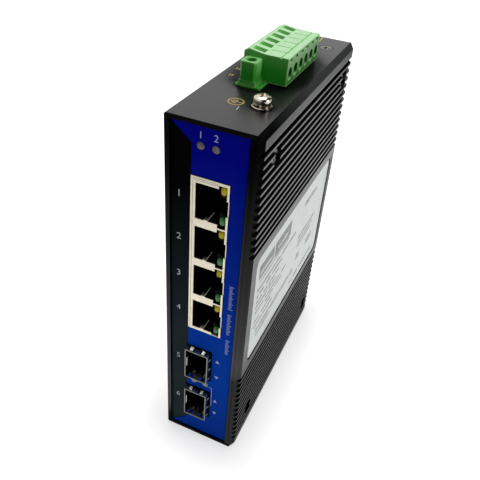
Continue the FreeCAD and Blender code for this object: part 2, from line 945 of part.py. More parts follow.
def make_board_standoffs():
    """Six-sided threaded spacers pressed into the left wall."""
    spacers = []
    for y, z in standoff_points():
        foot = V(wall, y, z)
        bore = bar(foot, X_AXIS, standoff_hole + thread_gap, standoff_height, hidden_sides)
        spacers.append(bar(foot, X_AXIS, standoff_radius, standoff_height, spacer_sides).cut(bore))
    return spacers


def make_board_screws():
    """Pan screws through the board into the spacers."""
    screws = []
    for y, z in standoff_points():
        seat = V(board_right, y, z)
        head = bar(seat, X_AXIS, board_screw_head_radius, board_screw_head_height, hidden_sides)
        shank = bar(seat, -X_AXIS, standoff_hole, board_screw_length, hidden_sides)
        screws.append(joined([head, shank]))
    return screws


def make_terminal_header():
    """Header shroud on the board, open at the top, with a bored flange at each end."""
    body = box(header_left, header_right, header_front, header_back, header_bottom, header_top)
    mouth = box(
        header_left + header_wall, header_right - header_wall,
        plug_front, plug_back, header_bottom + header_floor, header_top,
    )
    cutters = [mouth]
    half = pin_size / 2 + thread_gap
    for y in pole_centres():
        cutters.append(
            box(pin_x - half, pin_x + half, y - half, y + half, header_bottom, header_bottom + header_floor)
        )
    for y in tower_centres():
        foot = V(tower_x, y, header_bottom)
        bore = flange_screw_radius + thread_gap
        cutters.append(bar(foot, Z_AXIS, bore, header_top - header_bottom, hidden_sides))
    return body.cut(cutters)


def make_header_pins():
    """Bent pins from the board up into the header."""
    half = pin_size / 2
    tip = header_top - pin_top_gap
    pins = []
    for y in pole_centres():
        profile = [
            V(board_left - pin_tail, y - half, header_bottom - pin_size - half),
            V(pin_x + half, y - half, header_bottom - pin_size - half),
            V(pin_x + half, y - half, tip),
            V(pin_x - half, y - half, tip),
            V(pin_x - half, y - half, header_bottom - pin_size + half),
            V(board_left - pin_tail, y - half, header_bottom - pin_size + half),
        ]
        pins.append(prism(profile, Y_AXIS * pin_size))
    return pins


def tower_ends():
    """Front and back faces of the two plug towers."""
    return [(header_front + flange_bite, plug_front), (plug_back, header_back - flange_bite)]


def tower_centres():
    """Positions of the tower bores along the header."""
    return [(low + high) / 2 for low, high in tower_ends()]


def make_terminal_plug():
    """Plug with wire pockets in a slope on top, driver holes at the right and a tower at each end."""
    body = box(header_left, plug_right, plug_front, plug_back, header_top, plug_top)
    nose = box(
        header_left + header_wall + nose_gap, header_right - header_wall - nose_gap,
        plug_front + nose_gap, plug_back - nose_gap, header_top - nose_length, header_top,
    )
    slope = [
        V(header_left, plug_front, plug_top),
        V(header_left + ridge_offset, plug_front, plug_top + ridge_rise),
        V(slope_end, plug_front, plug_top),
    ]
    pieces = [body, nose, prism(slope, Y_AXIS * (plug_back - plug_front))]
    for low, high in tower_ends():
        pieces.extend(tower_blocks(low, high))
    return joined(pieces).cut(plug_cutters())


def tower_blocks(low, high):
    """One end tower: a column with sloped corners on a stepped foot."""
    right = tower_left + tower_width
    outline = [
        V(tower_left + tower_edge, low, header_top),
        V(right - tower_edge, low, header_top),
        V(right, low + tower_edge, header_top),
        V(right, high - tower_edge, header_top),
        V(right - tower_edge, high, header_top),
        V(tower_left + tower_edge, high, header_top),
        V(tower_left, high - tower_edge, header_top),
        V(tower_left, low + tower_edge, header_top),
    ]
    blocks = [prism(outline, Z_AXIS * tower_height)]
    for out, rise in ((plinth_step, 2 * plinth_rise), (2 * plinth_step, plinth_rise)):
        blocks.append(
            box(tower_left - out, right + out, low - out, high + out, header_top, header_top + rise)
        )
    return blocks


def plug_cutters():
    """Pockets, holes, slots and moulded lines of the plug."""
    cutters = []
    line_right = plug_right - strip_width
    line_low = plug_top - groove_line
    slot_z = plug_top - test_slot_drop
    half_pin = pin_size / 2 + pin_gap
    for y in pole_centres():
        cutters.append(
            box(
                pocket_left, pocket_right, y - pocket_length / 2, y + pocket_length / 2,
                plug_top - pocket_depth, plug_top + ridge_rise,
            )
        )
        cutters.append(
            box(pin_x - half_pin, pin_x + half_pin, y - half_pin, y + half_pin,
                header_top - nose_length, plug_top - pocket_depth)
        )
        outline = []
        for corner in ring(V(pocket_right, y, driver_z), X_AXIS, driver_hole_radius, seen_sides):
            outline.append(corner + Z_AXIS * math.copysign(driver_hole_stretch, corner.z - driver_z))
        cutters.append(prism(outline, X_AXIS * (plug_right - pocket_right)))
        cutters.append(
            box(
                plug_right - test_slot_depth, plug_right,
                y - test_slot_width / 2, y + test_slot_width / 2,
                slot_z - test_slot_height / 2, slot_z + test_slot_height / 2,
            )
        )
    for y in pole_centres()[1:]:
        edge = y - (pole_pitch + groove_line) / 2
        cutters.append(box(slope_end, line_right, edge, edge + groove_line, line_low, plug_top))
    cutters.append(box(line_right, line_right + groove_line, plug_front, plug_back, line_low, plug_top))
    for y in tower_centres():
        cutters.append(rod(V(tower_x, y, header_top), Z_AXIS, tower_hole_radius, tower_height))
    return cutters


def make_clamp_cages():
    """Metal wire clamps in the bottoms of the pockets."""
    floor = plug_top - pocket_depth
    clamps = []
    for y in pole_centres():
        half = pocket_length / 2 - thread_gap
        frame = box(
            pocket_left + thread_gap, pocket_right - thread_gap,
            y - half, y + half, floor, floor + clamp_height,
        )
        wire_way = box(
            pocket_left + clamp_sheet, pocket_right - clamp_sheet,
            y - half + clamp_sheet, y + half - clamp_sheet, floor + clamp_sheet, floor + clamp_height,
        )
        clamps.append(frame.cut(wire_way))
    return clamps


def make_clamp_screws():
    """Clamp screws in the driver holes."""
    face = plug_right - clamp_head_depth
    neck = face - clamp_head_height
    screws = []
    for y in pole_centres():
        tip = V(pocket_right, y, driver_z)
        shank = bar(tip, X_AXIS, clamp_screw_radius, neck - pocket_right, hidden_sides)
        head = bar(V(neck, y, driver_z), X_AXIS, clamp_head_radius, clamp_head_height, hidden_sides)
        screws.append(joined([shank, head]))
    return screws


def make_flange_screws():
    """Screws down the towers into the header's flanges."""
    face = header_top + tower_height - flange_head_depth
    neck = face - flange_head_height
    tip = face - flange_screw_length
    screws = []
    for y in tower_centres():
        head = bar(V(tower_x, y, neck), Z_AXIS, flange_head_radius, flange_head_height, seen_sides)
        shank = bar(V(tower_x, y, tip), Z_AXIS, flange_screw_radius, neck - tip, hidden_sides)
        screws.append(joined([head, shank]))
    return screws


def washer(seat, radius, height):
    """Round washer for the ground screw."""
    bore = bar(seat, Z_AXIS, screw_radius + washer_gap, height, hidden_sides)
    return rod(seat, Z_AXIS, radius, height).cut(bore)


def make_ground_point():
    """Pan screw with a split spring washer and a flat washer."""
    seat = V(ground_x, ground_front, case_height)
    flat = washer(seat, flat_washer_radius, flat_washer_height)
    on_flat = seat + Z_AXIS * flat_washer_height
    split = box(
        seat.x - spring_washer_split / 2, seat.x + spring_washer_split / 2,
        seat.y - spring_washer_radius, seat.y, on_flat.z, on_flat.z + spring_washer_height,
    )
    spring = washer(on_flat, spring_washer_radius, spring_washer_height).cut(split)
    under_head = on_flat + Z_AXIS * spring_washer_height
    straight = ground_head_height - ground_head_edge
    head = rod(under_head, Z_AXIS, ground_head_radius, straight)
    crown = Part.makeCone(
        ground_head_radius, ground_head_radius - ground_head_edge, ground_head_edge,
        under_head + Z_AXIS * straight, Z_AXIS,
    )
    tip = seat - Z_AXIS * ground_screw_length
    shank = bar(tip, Z_AXIS, screw_radius, under_head.z - tip.z, hidden_sides)
    return joined([head, crown, shank]), spring, flat


def make_rail_clip():
    """Extruded clip with a deep hook at the top and a short hook at the bottom of the rail's room."""
    x0 = clip_x - clip_width / 2
    low = clip_z - (rail_height + rail_play) / 2
    high = clip_z + (rail_height + rail_play) / 2
    back = clip_seat + rail_slot
    profile = [
        V(x0, case_depth, low - clip_lower_hook),
        V(x0, back + clip_lip, low - clip_lower_hook),
        V(x0, back + clip_lip, low + clip_lower_overlap),
        V(x0, back, low + clip_lower_overlap),
        V(x0, back, low),
        V(x0, clip_seat, low),
        V(x0, clip_seat, high + clip_upper_hook),
        V(x0, back, high + clip_upper_hook),
        V(x0, back, high - clip_upper_overlap),
        V(x0, back + clip_lip, high - clip_upper_overlap),
        V(x0, back + clip_lip, high + clip_upper_hook + clip_lip),
        V(x0, case_depth, high + clip_upper_hook + clip_lip),
    ]
    clip = prism(profile, X_AXIS * clip_width)
    return clip.cut([sunk_hole(centre, -Y_AXIS, clip_plate, clip_lip) for centre in clip_screw_heads()])


def make_rail_spring():
    """Bowed leaf spring in the clip's upper hook."""
    half = clip_width / 2 - spring_end_gap
    roof = clip_z + (rail_height + rail_play) / 2 + clip_upper_hook
    front = clip_seat + thread_gap
    drop = spring_bow + spring_sheet
    profile = [
        V(clip_x - half, front, roof),
        V(clip_x, front, roof - spring_bow),
        V(clip_x + half, front, roof),
        V(clip_x + half, front, roof - spring_sheet),
        V(clip_x, front, roof - drop),
        V(clip_x - half, front, roof - spring_sheet),
    ]
    return prism(profile, Y_AXIS * (rail_slot - 2 * thread_gap))


def board_part(front, length, low, width, height):
    """Plain package on the board."""
    return box(part_seat, part_seat + height, front, front + length, low, low + width)


def make_heatsink():
    """Finned heat sink on the switch chip."""
    foot = part_seat + chip_height + part_gap
    base = box(
        foot, foot + heatsink_base, chip_front, chip_front + chip_size,
        chip_bottom, chip_bottom + chip_size,
    )
    fins = []
    step = (chip_size - heatsink_fin_sheet) / (heatsink_fin_count - 1)
    for k in range(heatsink_fin_count):
        low = chip_bottom + k * step
        fins.append(
            box(
                foot + heatsink_base, foot + heatsink_base + heatsink_fin,
                chip_front, chip_front + chip_size, low, low + heatsink_fin_sheet,
            )
        )
    return joined([base] + fins)


def make_magnetics():
    """One transformer block behind each jack."""
    half = magnetic_width / 2
    return [board_part(magnetic_front, magnetic_length, z - half, magnetic_width, magnetic_height)
            for z in jack_centres()]


def make_capacitors():
    """Upright can capacitors."""
    z = case_height - capacitor_drop
    cans = []
    for k in range(capacitor_count):
        foot = V(part_seat, capacitor_front + k * capacitor_spacing, z)
        cans.append(bar(foot, X_AXIS, capacitor_radius, capacitor_height, seen_sides))
    return cans


os.makedirs("parts", exist_ok=True)

upper_lamp_seats, lower_lamp_seats = jack_lamp_seats()
ground_screw, ground_spring_washer, ground_flat_washer = make_ground_point()

save("chassis", make_chassis())
save("side_cover", make_side_cover())
save("rating_label", make_rating_label())
save("cover_brackets", make_cover_brackets())
save("cover_screws", [sunk_screw(centre, -X_AXIS, sunk_screw_length) for centre in cover_screw_heads()])
save("case_screw", sunk_screw(case_screw_head(), -Z_AXIS, case_screw_length))
save("front_panel", make_front_panel())
save("front_overlay", make_front_overlay())
save("jack_shield", make_jack_shield())
save("jack_housing", make_jack_housing())
save("jack_contacts", make_jack_contacts())
save("jack_yellow_lamps", make_jack_lamps(upper_lamp_seats))
save("jack_green_lamps", make_jack_lamps(lower_lamp_seats))
save("cage_lower", make_cage(cage_low_bottom))
save("cage_upper", make_cage(cage_high_bottom))
save("module_socket_lower", make_module_socket(cage_low_bottom))
save("module_socket_upper", make_module_socket(cage_high_bottom))
save("status_lamps", make_lamps(status_lamp_z))
save("link_lamps", make_lamps(link_lamp_z))
save("status_lamp_holder", make_lamp_holder(status_lamp_z))
save("link_lamp_holder", make_lamp_holder(link_lamp_z))
save("main_board", make_main_board())
save("board_standoffs", make_board_standoffs())
save("board_screws", make_board_screws())
save("terminal_header", make_terminal_header())
save("header_pins", make_header_pins())
save("terminal_plug", make_terminal_plug())
save("clamp_cages", make_clamp_cages())
save("clamp_screws", make_clamp_screws())
save("flange_screws", make_flange_screws())
save("ground_screw", ground_screw)
save("ground_spring_washer", ground_spring_washer)
save("ground_flat_washer", ground_flat_washer)
save("rail_clip", make_rail_clip())
save("rail_spring", make_rail_spring())
save("rail_screws", [sunk_screw(centre, -Y_AXIS, clip_screw_length) for centre in clip_screw_heads()])
save("switch_chip", board_part(chip_front, chip_size, chip_bottom, chip_size, chip_height))
save("chip_heatsink", make_heatsink())
save("magnetics", make_magnetics())
save("capacitors", make_capacitors())
save("input_choke", board_part(choke_front, choke_size, case_height - choke_drop, choke_size, choke_height))
save("power_inductor", board_part(
    inductor_front, inductor_size, power_bottom, inductor_size, inductor_height,
))
save("power_chip", board_part(
    inductor_front - power_chip_gap - power_chip_length, power_chip_length,
    power_bottom, power_chip_width, power_chip_height,
))
save("memory_chip", board_part(memory_front, memory_length, memory_bottom, memory_width, memory_height))
save("crystal", board_part(crystal_front, crystal_length, crystal_bottom, crystal_width, crystal_height))
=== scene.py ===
import json
import math
import random

import bmesh
import bpy
from mathutils import Matrix, Vector


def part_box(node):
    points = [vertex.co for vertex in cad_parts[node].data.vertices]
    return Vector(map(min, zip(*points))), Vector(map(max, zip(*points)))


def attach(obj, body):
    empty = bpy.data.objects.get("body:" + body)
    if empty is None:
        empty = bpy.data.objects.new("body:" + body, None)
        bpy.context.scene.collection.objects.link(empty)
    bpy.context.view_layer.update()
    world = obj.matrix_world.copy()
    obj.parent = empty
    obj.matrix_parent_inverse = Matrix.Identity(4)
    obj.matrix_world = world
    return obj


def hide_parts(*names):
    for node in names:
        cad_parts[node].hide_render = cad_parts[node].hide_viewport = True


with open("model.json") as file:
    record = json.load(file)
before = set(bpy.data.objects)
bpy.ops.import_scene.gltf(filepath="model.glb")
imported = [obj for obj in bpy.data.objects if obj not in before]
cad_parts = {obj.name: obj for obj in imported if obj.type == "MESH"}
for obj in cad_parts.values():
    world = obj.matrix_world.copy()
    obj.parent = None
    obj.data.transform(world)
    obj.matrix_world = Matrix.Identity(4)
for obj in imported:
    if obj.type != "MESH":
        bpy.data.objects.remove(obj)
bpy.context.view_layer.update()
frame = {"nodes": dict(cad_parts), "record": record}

# Lengths are in millimetres. Places on the part are measured from the case's left, front, bottom corner,
# and those of the camera and the lamps from the origin.
MM = 0.001
BODY = "root"
AXIS_X = Vector((1, 0, 0))
AXIS_Y = Vector((0, 1, 0))
AXIS_Z = Vector((0, 0, 1))

# Camera, solved from the case's edges in the photograph
PHOTO_PIXELS = 480
FOCAL_PIXELS = 560.77
SENSOR_WIDTH = 36.0
CAMERA_PLACE = (58.95, -168.16, 202.63)
CAMERA_RIGHT = (0.91040, 0.40811, 0.06796)
CAMERA_UP = (-0.29588, 0.52743, 0.79641)
CAMERA_BACK = (0.28918, -0.74516, 0.60092)
CAMERA_CLIP = (0.01, 20)  # metres

# Studio
FLOOR_REACH = 1500.0  # behind and beside the object
FLOOR_FRONT = 260.0  # ahead of the case
FLOOR_COLOUR = 0.92
FLOOR_ROUGHNESS = 0.8
FLOOR_SHADED = 0.5  # part of its look that takes the shadow
FLOOR_WHITE = (0.58, 0.94)  # glow of its look, near and far; the weaker glow near the case is a painted shadow
FLOOR_RISE = (1.0, 26.0)  # distances between which it grows
AMBIENT = 0.16
BRIGHT_SIDE = (0.38, -0.25)  # directions of reflections, dim to white
DIM_SIDE = 0.03  # what gloss finds at the right and below
HORIZON = (-0.08, 0.0)
LAMPS = {  # place, side and power in watts
    "lamp_top": ((-60.0, 120.0, 950.0), 650.0, 5.4),
    "lamp_right": ((880.0, -40.0, 330.0), 500.0, 2.9),
}
LAMP_AIM = (0.0, 0.0, 70.0)

# Finishes
OCCLUSION_SAMPLES = 8
BEVEL_SAMPLES = 4
NOISE_SPAN = (0.3, 0.7)  # most of a noise
NOISE_DETAIL = 3.0
EVEN = (1, 1, 1)  # stretch of grain
BRUSHED_X = (0.03, 1, 1)
BRUSHED_Y = (1, 0.02, 1)
BRUSHED_Z = (1, 1, 0.03)

# Finishes: parts of a face's normal over which it comes to count for painted light and shade
FACES_FRONT = (-0.3, -0.6)
FACES_UP = (0.4, 0.6)
RIB_FACES_UP = (0.5, 0.8)
RIB_FACES_OUT = (0.8, 0.95)
CAGE_FACES_OUT = (0.4, 0.7)
CAGE_FACES_FRONT = (-0.5, -0.9)
PLUG_FACES_LEFT = (-0.3, -0.7)
PLUG_FACES_BACK = (0.3, 0.7)
PLUG_FACES_FRONT = (-0.25, -0.75)
PLUG_FACES_RIGHT = (0.5, 0.8)
PLUG_NOT_UP = (0.8, 0.5)
HOLE_NOT_RIGHT = (0.7, 0.4)
HOLE_FACES_UP = (0.45, 0.85)

# Finishes: heights over which painted light and shade change
FRONT_RISE = (125, 40)  # painted reflection: gloss of what faces the front grows downwards
TOP_CHAMFER = (132, 134)
LOWER_RIBS = (54, 40)
UPPER_RIBS = (120, 134)
FAR_RIBS = (98, 116)
PAD_FROM = (44, 48)
PAD_TO = (95, 91)
RIB_WALLS_TO = (131, 130)
PANEL_PALE = (116, 48)
FILM_DARK = (45, 128)
FILM_FOOT = (40, 5)
TOWER_FALL = (145.8, 140.8)
FRONT_FALL = (147.5, 142.5)
RIGHT_FALL = (146.0, 141.0)
GROOVES_FROM = (145.6, 146.0)
HOLES_TO = (146.6, 146.2)

# Finishes: depths behind the case's front edge, or behind a lens's front, over which painted light and
# shade change
TOP_CHAMFER_BACK = (8.0, 40.0)
RIBS_BACK = (40.0, 88.0)
PAD_BACK = (81.5, 84.0)
SHIELD_DARK = (0.8, 2.4)
CAGE_DARK = (1.5, 5.0)
YELLOW_DARK = (0.9, 2.4)
GREEN_DARK = (0.7, 1.7)

# Finishes: distances from a cage's left wall, the plug's right side and middle, and a screw, over which
# painted light and shade change
CAGE_WALL = (2.5, 1.5)
PLUG_SIDE = (-0.6, -0.3)
PLUG_POCKETS = (-7.4, -7.8)
PLUG_HOLES = (-7.8, -7.4)
PLUG_LIPS = (-3.0, -1.0)
BLOCK_HALF = 15.0  # half the plug's length between its towers
BLOCK_END = (BLOCK_HALF - 0.1, BLOCK_HALF + 0.1)
BLOCK_FRONT = (1.2 - BLOCK_HALF, 0.6 - BLOCK_HALF)
BLOCK_INSIDE = (BLOCK_HALF - 0.4, BLOCK_HALF - 0.8)
SCREW_RIM = (1.7, 2.2)

# Painted highlight band on the cover's upper ribs
RIBS_START = (96.6, 96.7)  # heights
RIBS_END = (131.3, 131.2)
RIB_PITCH = 2.89
BAND_START = (0.63, 0.72)  # shares of the pitch
BAND_END = (0.76, 0.86)
BAND_LOW = (0.1, 1.0)  # level below the band and in it
BAND_HIGH = (1.75, 0.05)  # level in the band and above it

# Roundness
TURNED_SIDES = 48
SMOOTH_ANGLE = 35.0
ARC_STEPS = 10
ROUND_POWER = 2.0  # power of a dome that follows a circle
ROUND_PROFILE = 0.5  # bevel that follows a circle
WELD = 0.001  # points this near are joined
FLAT_ANGLE = 0.5  # degrees up to which faces are joined
SORT_DIGITS = 5

# Screws and washers
SCREW_RADIUS = 1.5
EDGE_ROUND = 0.2
SUNK_RIM = ((0.08, 0.14), (0.0, 0.08), (0.1, 0.0))  # in from the rim and down from the face
PAN_RIM = 0.05
PAN_FACE = -0.1  # mouth of the recess against the crown's top
CROSS_ARM = 1.5
CROSS_WIDTH = 0.75
CROSS_DEPTH = 1.0
CROSS_ABOVE = 0.3  # start of the cut above the face
CROSS_FLOOR = 0.45  # size of the recess's floor against its mouth
CROWN_START = 0.45  # start of a pan head's crown on its height
CROWN_POWER = 2.6
WASHER_BORE = 1.6
WASHER_EDGE = 0.12
SPRING_EDGE = 0.08
SPRING_SIDE = -90.0  # direction of the split, in degrees
SPRING_GAP = 14.0  # half the split, in degrees
SPRING_LIFT = 0.22

# Lamps
LAMP_NOSE = 0.55  # length of a round lamp's dome
JACK_LAMP_ROUND = 1.0
JACK_LAMP_SEGMENTS = 5
JACK_LAMP_FRONT = 0.1  # edges this near the front are rounded

# Print
INK = 0.03  # thickness of print
PORT_MARK_X = 4.35
PORT_MARK_Z = (112.9, 97.1, 82.2, 66.6, 41.9, 19.4)
PORT_MARK_SIZE = 3.4
LAMP_MARK_Z = 133.6
LAMP_MARK_SIZE = 3.0
ARROW_X = 20.3
ARROWS = ((46.6, 1), (37.9, -1), (24.2, 1), (16.8, -1))
ARROW_WIDTH = 1.7
ARROW_HEIGHT = 1.5
RULE = 0.22  # width of a printed line
BRACKET_LINE = ((17.46, 30.9), (18.72, 30.9), (18.72, 20.1))
SIGN_PLACE = (13.92, 16.67)
SIGN_RADIUS = 2.45
SIGN_LINE = 0.34
SIGN_SIDES = 40
SIGN_BARS = (1.5, 1.0, 0.45)  # half lengths
SIGN_STEP = 0.68
TICK = ((16.3, 11.8), (16.06, 14.0))
TERMINAL_TICKS = ((4.15, 34.6), (3.75, 40.9))
TERMINAL_PAIR = (-0.5, 0.4)  # places of the two strokes of a tick
TERMINAL_HALF = 0.9
TERMINAL_STROKE = 0.32
TERMINAL_LINE = ((17.48, 84.1), (16.94, 90.2))
TERMINAL_RULE = 0.55
WORD_X = 23.4
WORD_SPANS = ((84.0, 73.4), (71.6, 61.4), (59.4, 51.4))
WORD_STROKE = 0.2
WORD_PITCH = 0.62
WORD_HEIGHT = 1.1
TALL_EVERY = 4
TALL_SHARE = 1.5

# Label: rows as height, thickness and stretches along the case's depth
LABEL_FIELDS = ((9.6, 23.1, 81.9, 87.7), (24.2, 40.3, 81.3, 87.7))
FIELD_BARS = ((10.6, 22.0), (27.0, 37.6))
FIELD_BAR = (83.4, 85.0)
LABEL_ROWS = (
    (80.4, 0.9, ((11.0, 39.6),)),
    (77.2, 1.5, ((9.6, 31.6), (33.0, 39.8), (41.0, 48.1))),
    (74.5, 1.4, ((9.6, 11.4), (12.4, 16.0), (18.5, 22.8), (24.2, 33.9))),
    (71.7, 1.2, ((9.6, 14.9), (16.4, 20.3), (21.4, 26.7), (27.8, 31.7))),
    (69.4, 1.2, ((9.6, 20.3), (21.7, 28.9))),
    (66.9, 1.2, ((9.6, 17.4), (19.2, 33.9), (35.3, 39.9))),
    (64.6, 1.1, ((19.6, 27.4), (28.9, 36.0))),
    (62.4, 1.1, ((9.6, 14.6), (16.4, 25.3))),
    (59.7, 1.1, ((9.6, 27.4),)),
    (53.3, 1.3, ((13.1, 26.7),)),
    (71.3, 1.1, ((53.1, 73.5),)),
    (69.0, 1.1, ((53.1, 71.7),)),
    (66.9, 1.1, ((53.1, 69.9),)),
    (50.4, 1.5, ((48.9, 52.4), (54.0, 60.0), (61.6, 77.4))),
)
LABEL_STROKES = (
    (56.1, 2.6, (12.4, 51.7)),
    (85.6, 2.2, (55.3, 71.0)),
    (60.6, 3.4, (54.0, 58.0)),
    (60.6, 3.4, (66.0, 73.5)),
)
LABEL_WORD = (0.5, 1.3)  # shortest and longest printed bar
LABEL_WORD_GAP = (0.22, 0.5)
LABEL_STROKE = (0.25, 0.6)
LABEL_STROKE_GAP = (0.3, 0.7)
LABEL_UNEVEN = 0.72  # lowest bar of a row against the highest
SEED = 7

# Painted highlights, as thin glowing slabs, on the edges of the grounding tabs in the jacks and on the
# strips in the cages
TAB_EDGE_START = (14.25, 0.9, 60.86)
TAB_EDGE_RUN = (3.8, 0.3)  # back and up
TAB_EDGE_SIZE = (0.09, 0.07)
TAB_EDGE_TAPER = 0.5  # width at the back against the front
JACK_PITCH = 15.24
JACK_COUNT = 4
STRIP_X = 8.76
STRIP_Y = (0.65, 1.3)  # behind the cage's front edge
STRIP_HALF = 2.25
STRIP_CORNER = 0.25

# Edges softened on copies of the folded pieces
SOFT_EDGES = {  # width, and shortest edge that gets it
    "chassis": (0.25, 3.0),
    "front_panel": (0.1, 2.0),
    "rail_clip": (0.2, 1.5),
}
SOFT_SEGMENTS = 2
SHARP_FROM = 28.0  # degrees
SQUARE_FACE = 0.999  # faces this square with the axes stay flat

case_low, case_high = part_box("chassis")
front_edge = case_low.y / MM


def at(x, y, z):
    """Point of the scene from a place on the case."""
    return case_low + Vector((x, y, z)) * MM


def add_object(name, data):
    """New object in the scene."""
    thing = bpy.data.objects.new(name, data)
    bpy.context.scene.collection.objects.link(thing)
    return thing


def linear(colour):
    """Colour of the shader from 0 to 255 values."""
    channels = []
    for value in colour:
        share = value / 255
        channels.append(share / 12.92 if share <= 0.04045 else ((share + 0.055) / 1.055) ** 2.4)
    return (*channels, 1.0)


def grey(value):
    """Colour with three equal channels."""
    return (value, value, value, 1)


class Nodes:
    """Node tree, with short ways to add to it."""

    def __init__(self, tree):
        self.tree = tree

    def add(self, kind, **inputs):
        """New node with values on its sockets."""
        node = self.tree.nodes.new("ShaderNode" + kind)
        for socket, value in inputs.items():
            node.inputs[socket.replace("_", " ").title()].default_value = value
        return node

    def join(self, out, into):
        """Link from one socket to another."""
        self.tree.links.new(out, into)

    def combine(self, operation, first, *others):
        """Numbers taken together by an operation."""
        for other in others:
            both = self.add("Math")
            both.operation = operation
            self.join(first, both.inputs[0])
            self.join(other, both.inputs[1])
            first = both.outputs["Value"]
        return first

    def product(self, *values):
        """Numbers multiplied."""
        return self.combine("MULTIPLY", *values)

    def number(self, value, span, low=0.0, high=1.0, shape="LINEAR"):
        """Number from low to high as a value goes through a span."""
        node = self.add("MapRange", from_min=span[0], from_max=span[1], to_min=low, to_max=high)
        node.interpolation_type = shape
        self.join(value, node.inputs["Value"])
        return node.outputs["Result"]

    def place(self, kind="Object"):
        """Place of a point, in metres."""
        return self.add("TexCoord").outputs[kind]

    def part(self, vector, axis):
        """One coordinate of a vector."""
        split = self.add("SeparateXYZ")
        self.join(vector, split.inputs["Vector"])
        return split.outputs[axis]

    def vector(self, operation, vector, other=(0, 0, 0)):
        """Vector after an operation with a fixed one."""
        node = self.add("VectorMath")
        node.operation = operation
        node.inputs[1].default_value = other
        self.join(vector, node.inputs[0])
        return node.outputs["Value" if operation in ("DISTANCE", "LENGTH") else "Vector"]

    def mixed(self, share, first, second):
        """Shader between two others."""
        mix = self.add("MixShader")
        self.join(share, mix.inputs["Fac"])
        self.join(first, mix.inputs[1])
        self.join(second, mix.inputs[2])
        return mix.outputs["Shader"]


class Finish(Nodes):
    """Procedural material."""

    def __init__(self, name, colour, roughness, level=0.5, metallic=0.0):
        self.material = bpy.data.materials.new(name)
        self.material.use_nodes = True
        super().__init__(self.material.node_tree)
        self.shader = self.tree.nodes["Principled BSDF"]
        self.colour = linear(colour)
        self.tint = None
        self.normal = None
        self.fix("Base Color", self.colour).fix("Roughness", roughness)
        self.fix("Specular IOR Level", level).fix("Metallic", metallic)

    def fix(self, socket, value):
        """Value that is the same all over."""
        self.shader.inputs[socket].default_value = value
        return self

    def noise(self, size, stretch=EVEN):
        """Noise with grains of a size, longer along an axis with a small stretch."""
        turn = self.add("Mapping", scale=stretch)
        grain = self.add("TexNoise", scale=1 / (size * MM), detail=NOISE_DETAIL)
        self.join(self.place(), turn.inputs["Vector"])
        self.join(turn.outputs["Vector"], grain.inputs["Vector"])
        return grain.outputs["Fac"]

    def blend(self, other, share):
        """Goes over to another colour by a share."""
        mix = self.add("Mix")
        mix.data_type = "RGBA"
        first, second = [s for s in mix.inputs if s.type == "RGBA"]
        first.default_value = self.colour
        if self.tint:
            self.join(self.tint, first)
        second.default_value = linear(other)
        self.join(share, mix.inputs["Factor"])
        self.tint = [s for s in mix.outputs if s.type == "RGBA"][0]
        self.join(self.tint, self.shader.inputs["Base Color"])
        return self

    def less(self, share, rest=0.0):
        """One where a share is nothing, down to a rest where it is one."""
        return self.number(share, (0.0, 1.0), 1.0, rest)

    def along(self, axis, span, low=0.0, high=1.0, base=0.0):
        """Number from low to high over a span along an axis, off the origin or a base."""
        ends = [(base + end) * MM for end in span]
        return self.number(self.part(self.place(), axis), ends, low, high)

    def repeat(self, axis, start, pitch):
        """Share of the way through each repeat along an axis."""
        count = self.add("Math")
        count.operation = "MULTIPLY_ADD"
        count.inputs[1].default_value = 1 / (pitch * MM)
        count.inputs[2].default_value = -start / pitch
        share = self.add("Math")
        share.operation = "FRACT"
        self.join(self.part(self.place(), axis), count.inputs[0])
        self.join(count.outputs["Value"], share.inputs[0])
        return share.outputs["Value"]

    def around(self, centre, span):
        """Nothing to one over a span of distances from a point."""
        away = self.vector("DISTANCE", self.place(), centre)
        return self.number(away, [end * MM for end in span])

    def turned(self, axis, span):
        """Nothing to one as the surface turns, over a span of its normal."""
        shape = self.add("NewGeometry")
        return self.number(self.part(shape.outputs["True Normal"], axis), span)

    def closeness(self, reach, open_sky, shut, low=0.0, high=1.0, inside=False):
        """Number from low in the open to high in a mouth or corner, or within thin walls."""
        found = self.add("AmbientOcclusion", distance=reach * MM)
        found.samples = OCCLUSION_SAMPLES
        found.inside = inside
        return self.number(found.outputs["AO"], (open_sky, shut), low, high)

    def lean(self, share, first, second):
        """Number between a fixed one and another value, by a share."""
        mix = self.add("Mix")
        mix.inputs[2].default_value = first
        self.join(share, mix.inputs[0])
        self.join(second, mix.inputs[3])
        return mix.outputs[0]

    def mottle(self, other, size, stretch=EVEN, share=1.0):
        """Drifts between the base colour and another."""
        return self.blend(other, self.number(self.noise(size, stretch), NOISE_SPAN, 0.0, share))

    def fade(self, other, axis, span, base=0.0):
        """Goes over to another colour over a span along an axis."""
        return self.blend(other, self.along(axis, span, base=base))

    def recess(self, other, reach, open_sky=0.75, shut=0.2):
        """Painted shade: darkens what lies deep in a mouth or corner."""
        return self.blend(other, self.closeness(reach, open_sky, shut))

    def sheen(self, level):
        """Level of gloss over the surface."""
        self.join(level, self.shader.inputs["Specular IOR Level"])
        return self

    def gloss(self, low, high, size, stretch=EVEN):
        """Roughness that changes over the surface."""
        level = self.number(self.noise(size, stretch), NOISE_SPAN, low, high)
        self.join(level, self.shader.inputs["Roughness"])
        return self

    def worn_edge(self, radius):
        """Edges that catch the light as if rounded."""
        round_edge = self.add("Bevel", radius=radius * MM)
        round_edge.samples = BEVEL_SAMPLES
        self.normal = round_edge.outputs["Normal"]
        self.join(self.normal, self.shader.inputs["Normal"])
        return self

    def bump(self, height, size, stretch=EVEN):
        """Fine relief."""
        relief = self.add("Bump", strength=1.0, distance=height * MM)
        self.join(self.noise(size, stretch), relief.inputs["Height"])
        if self.normal:
            self.join(self.normal, relief.inputs["Normal"])
        self.join(relief.outputs["Normal"], self.shader.inputs["Normal"])
        return self


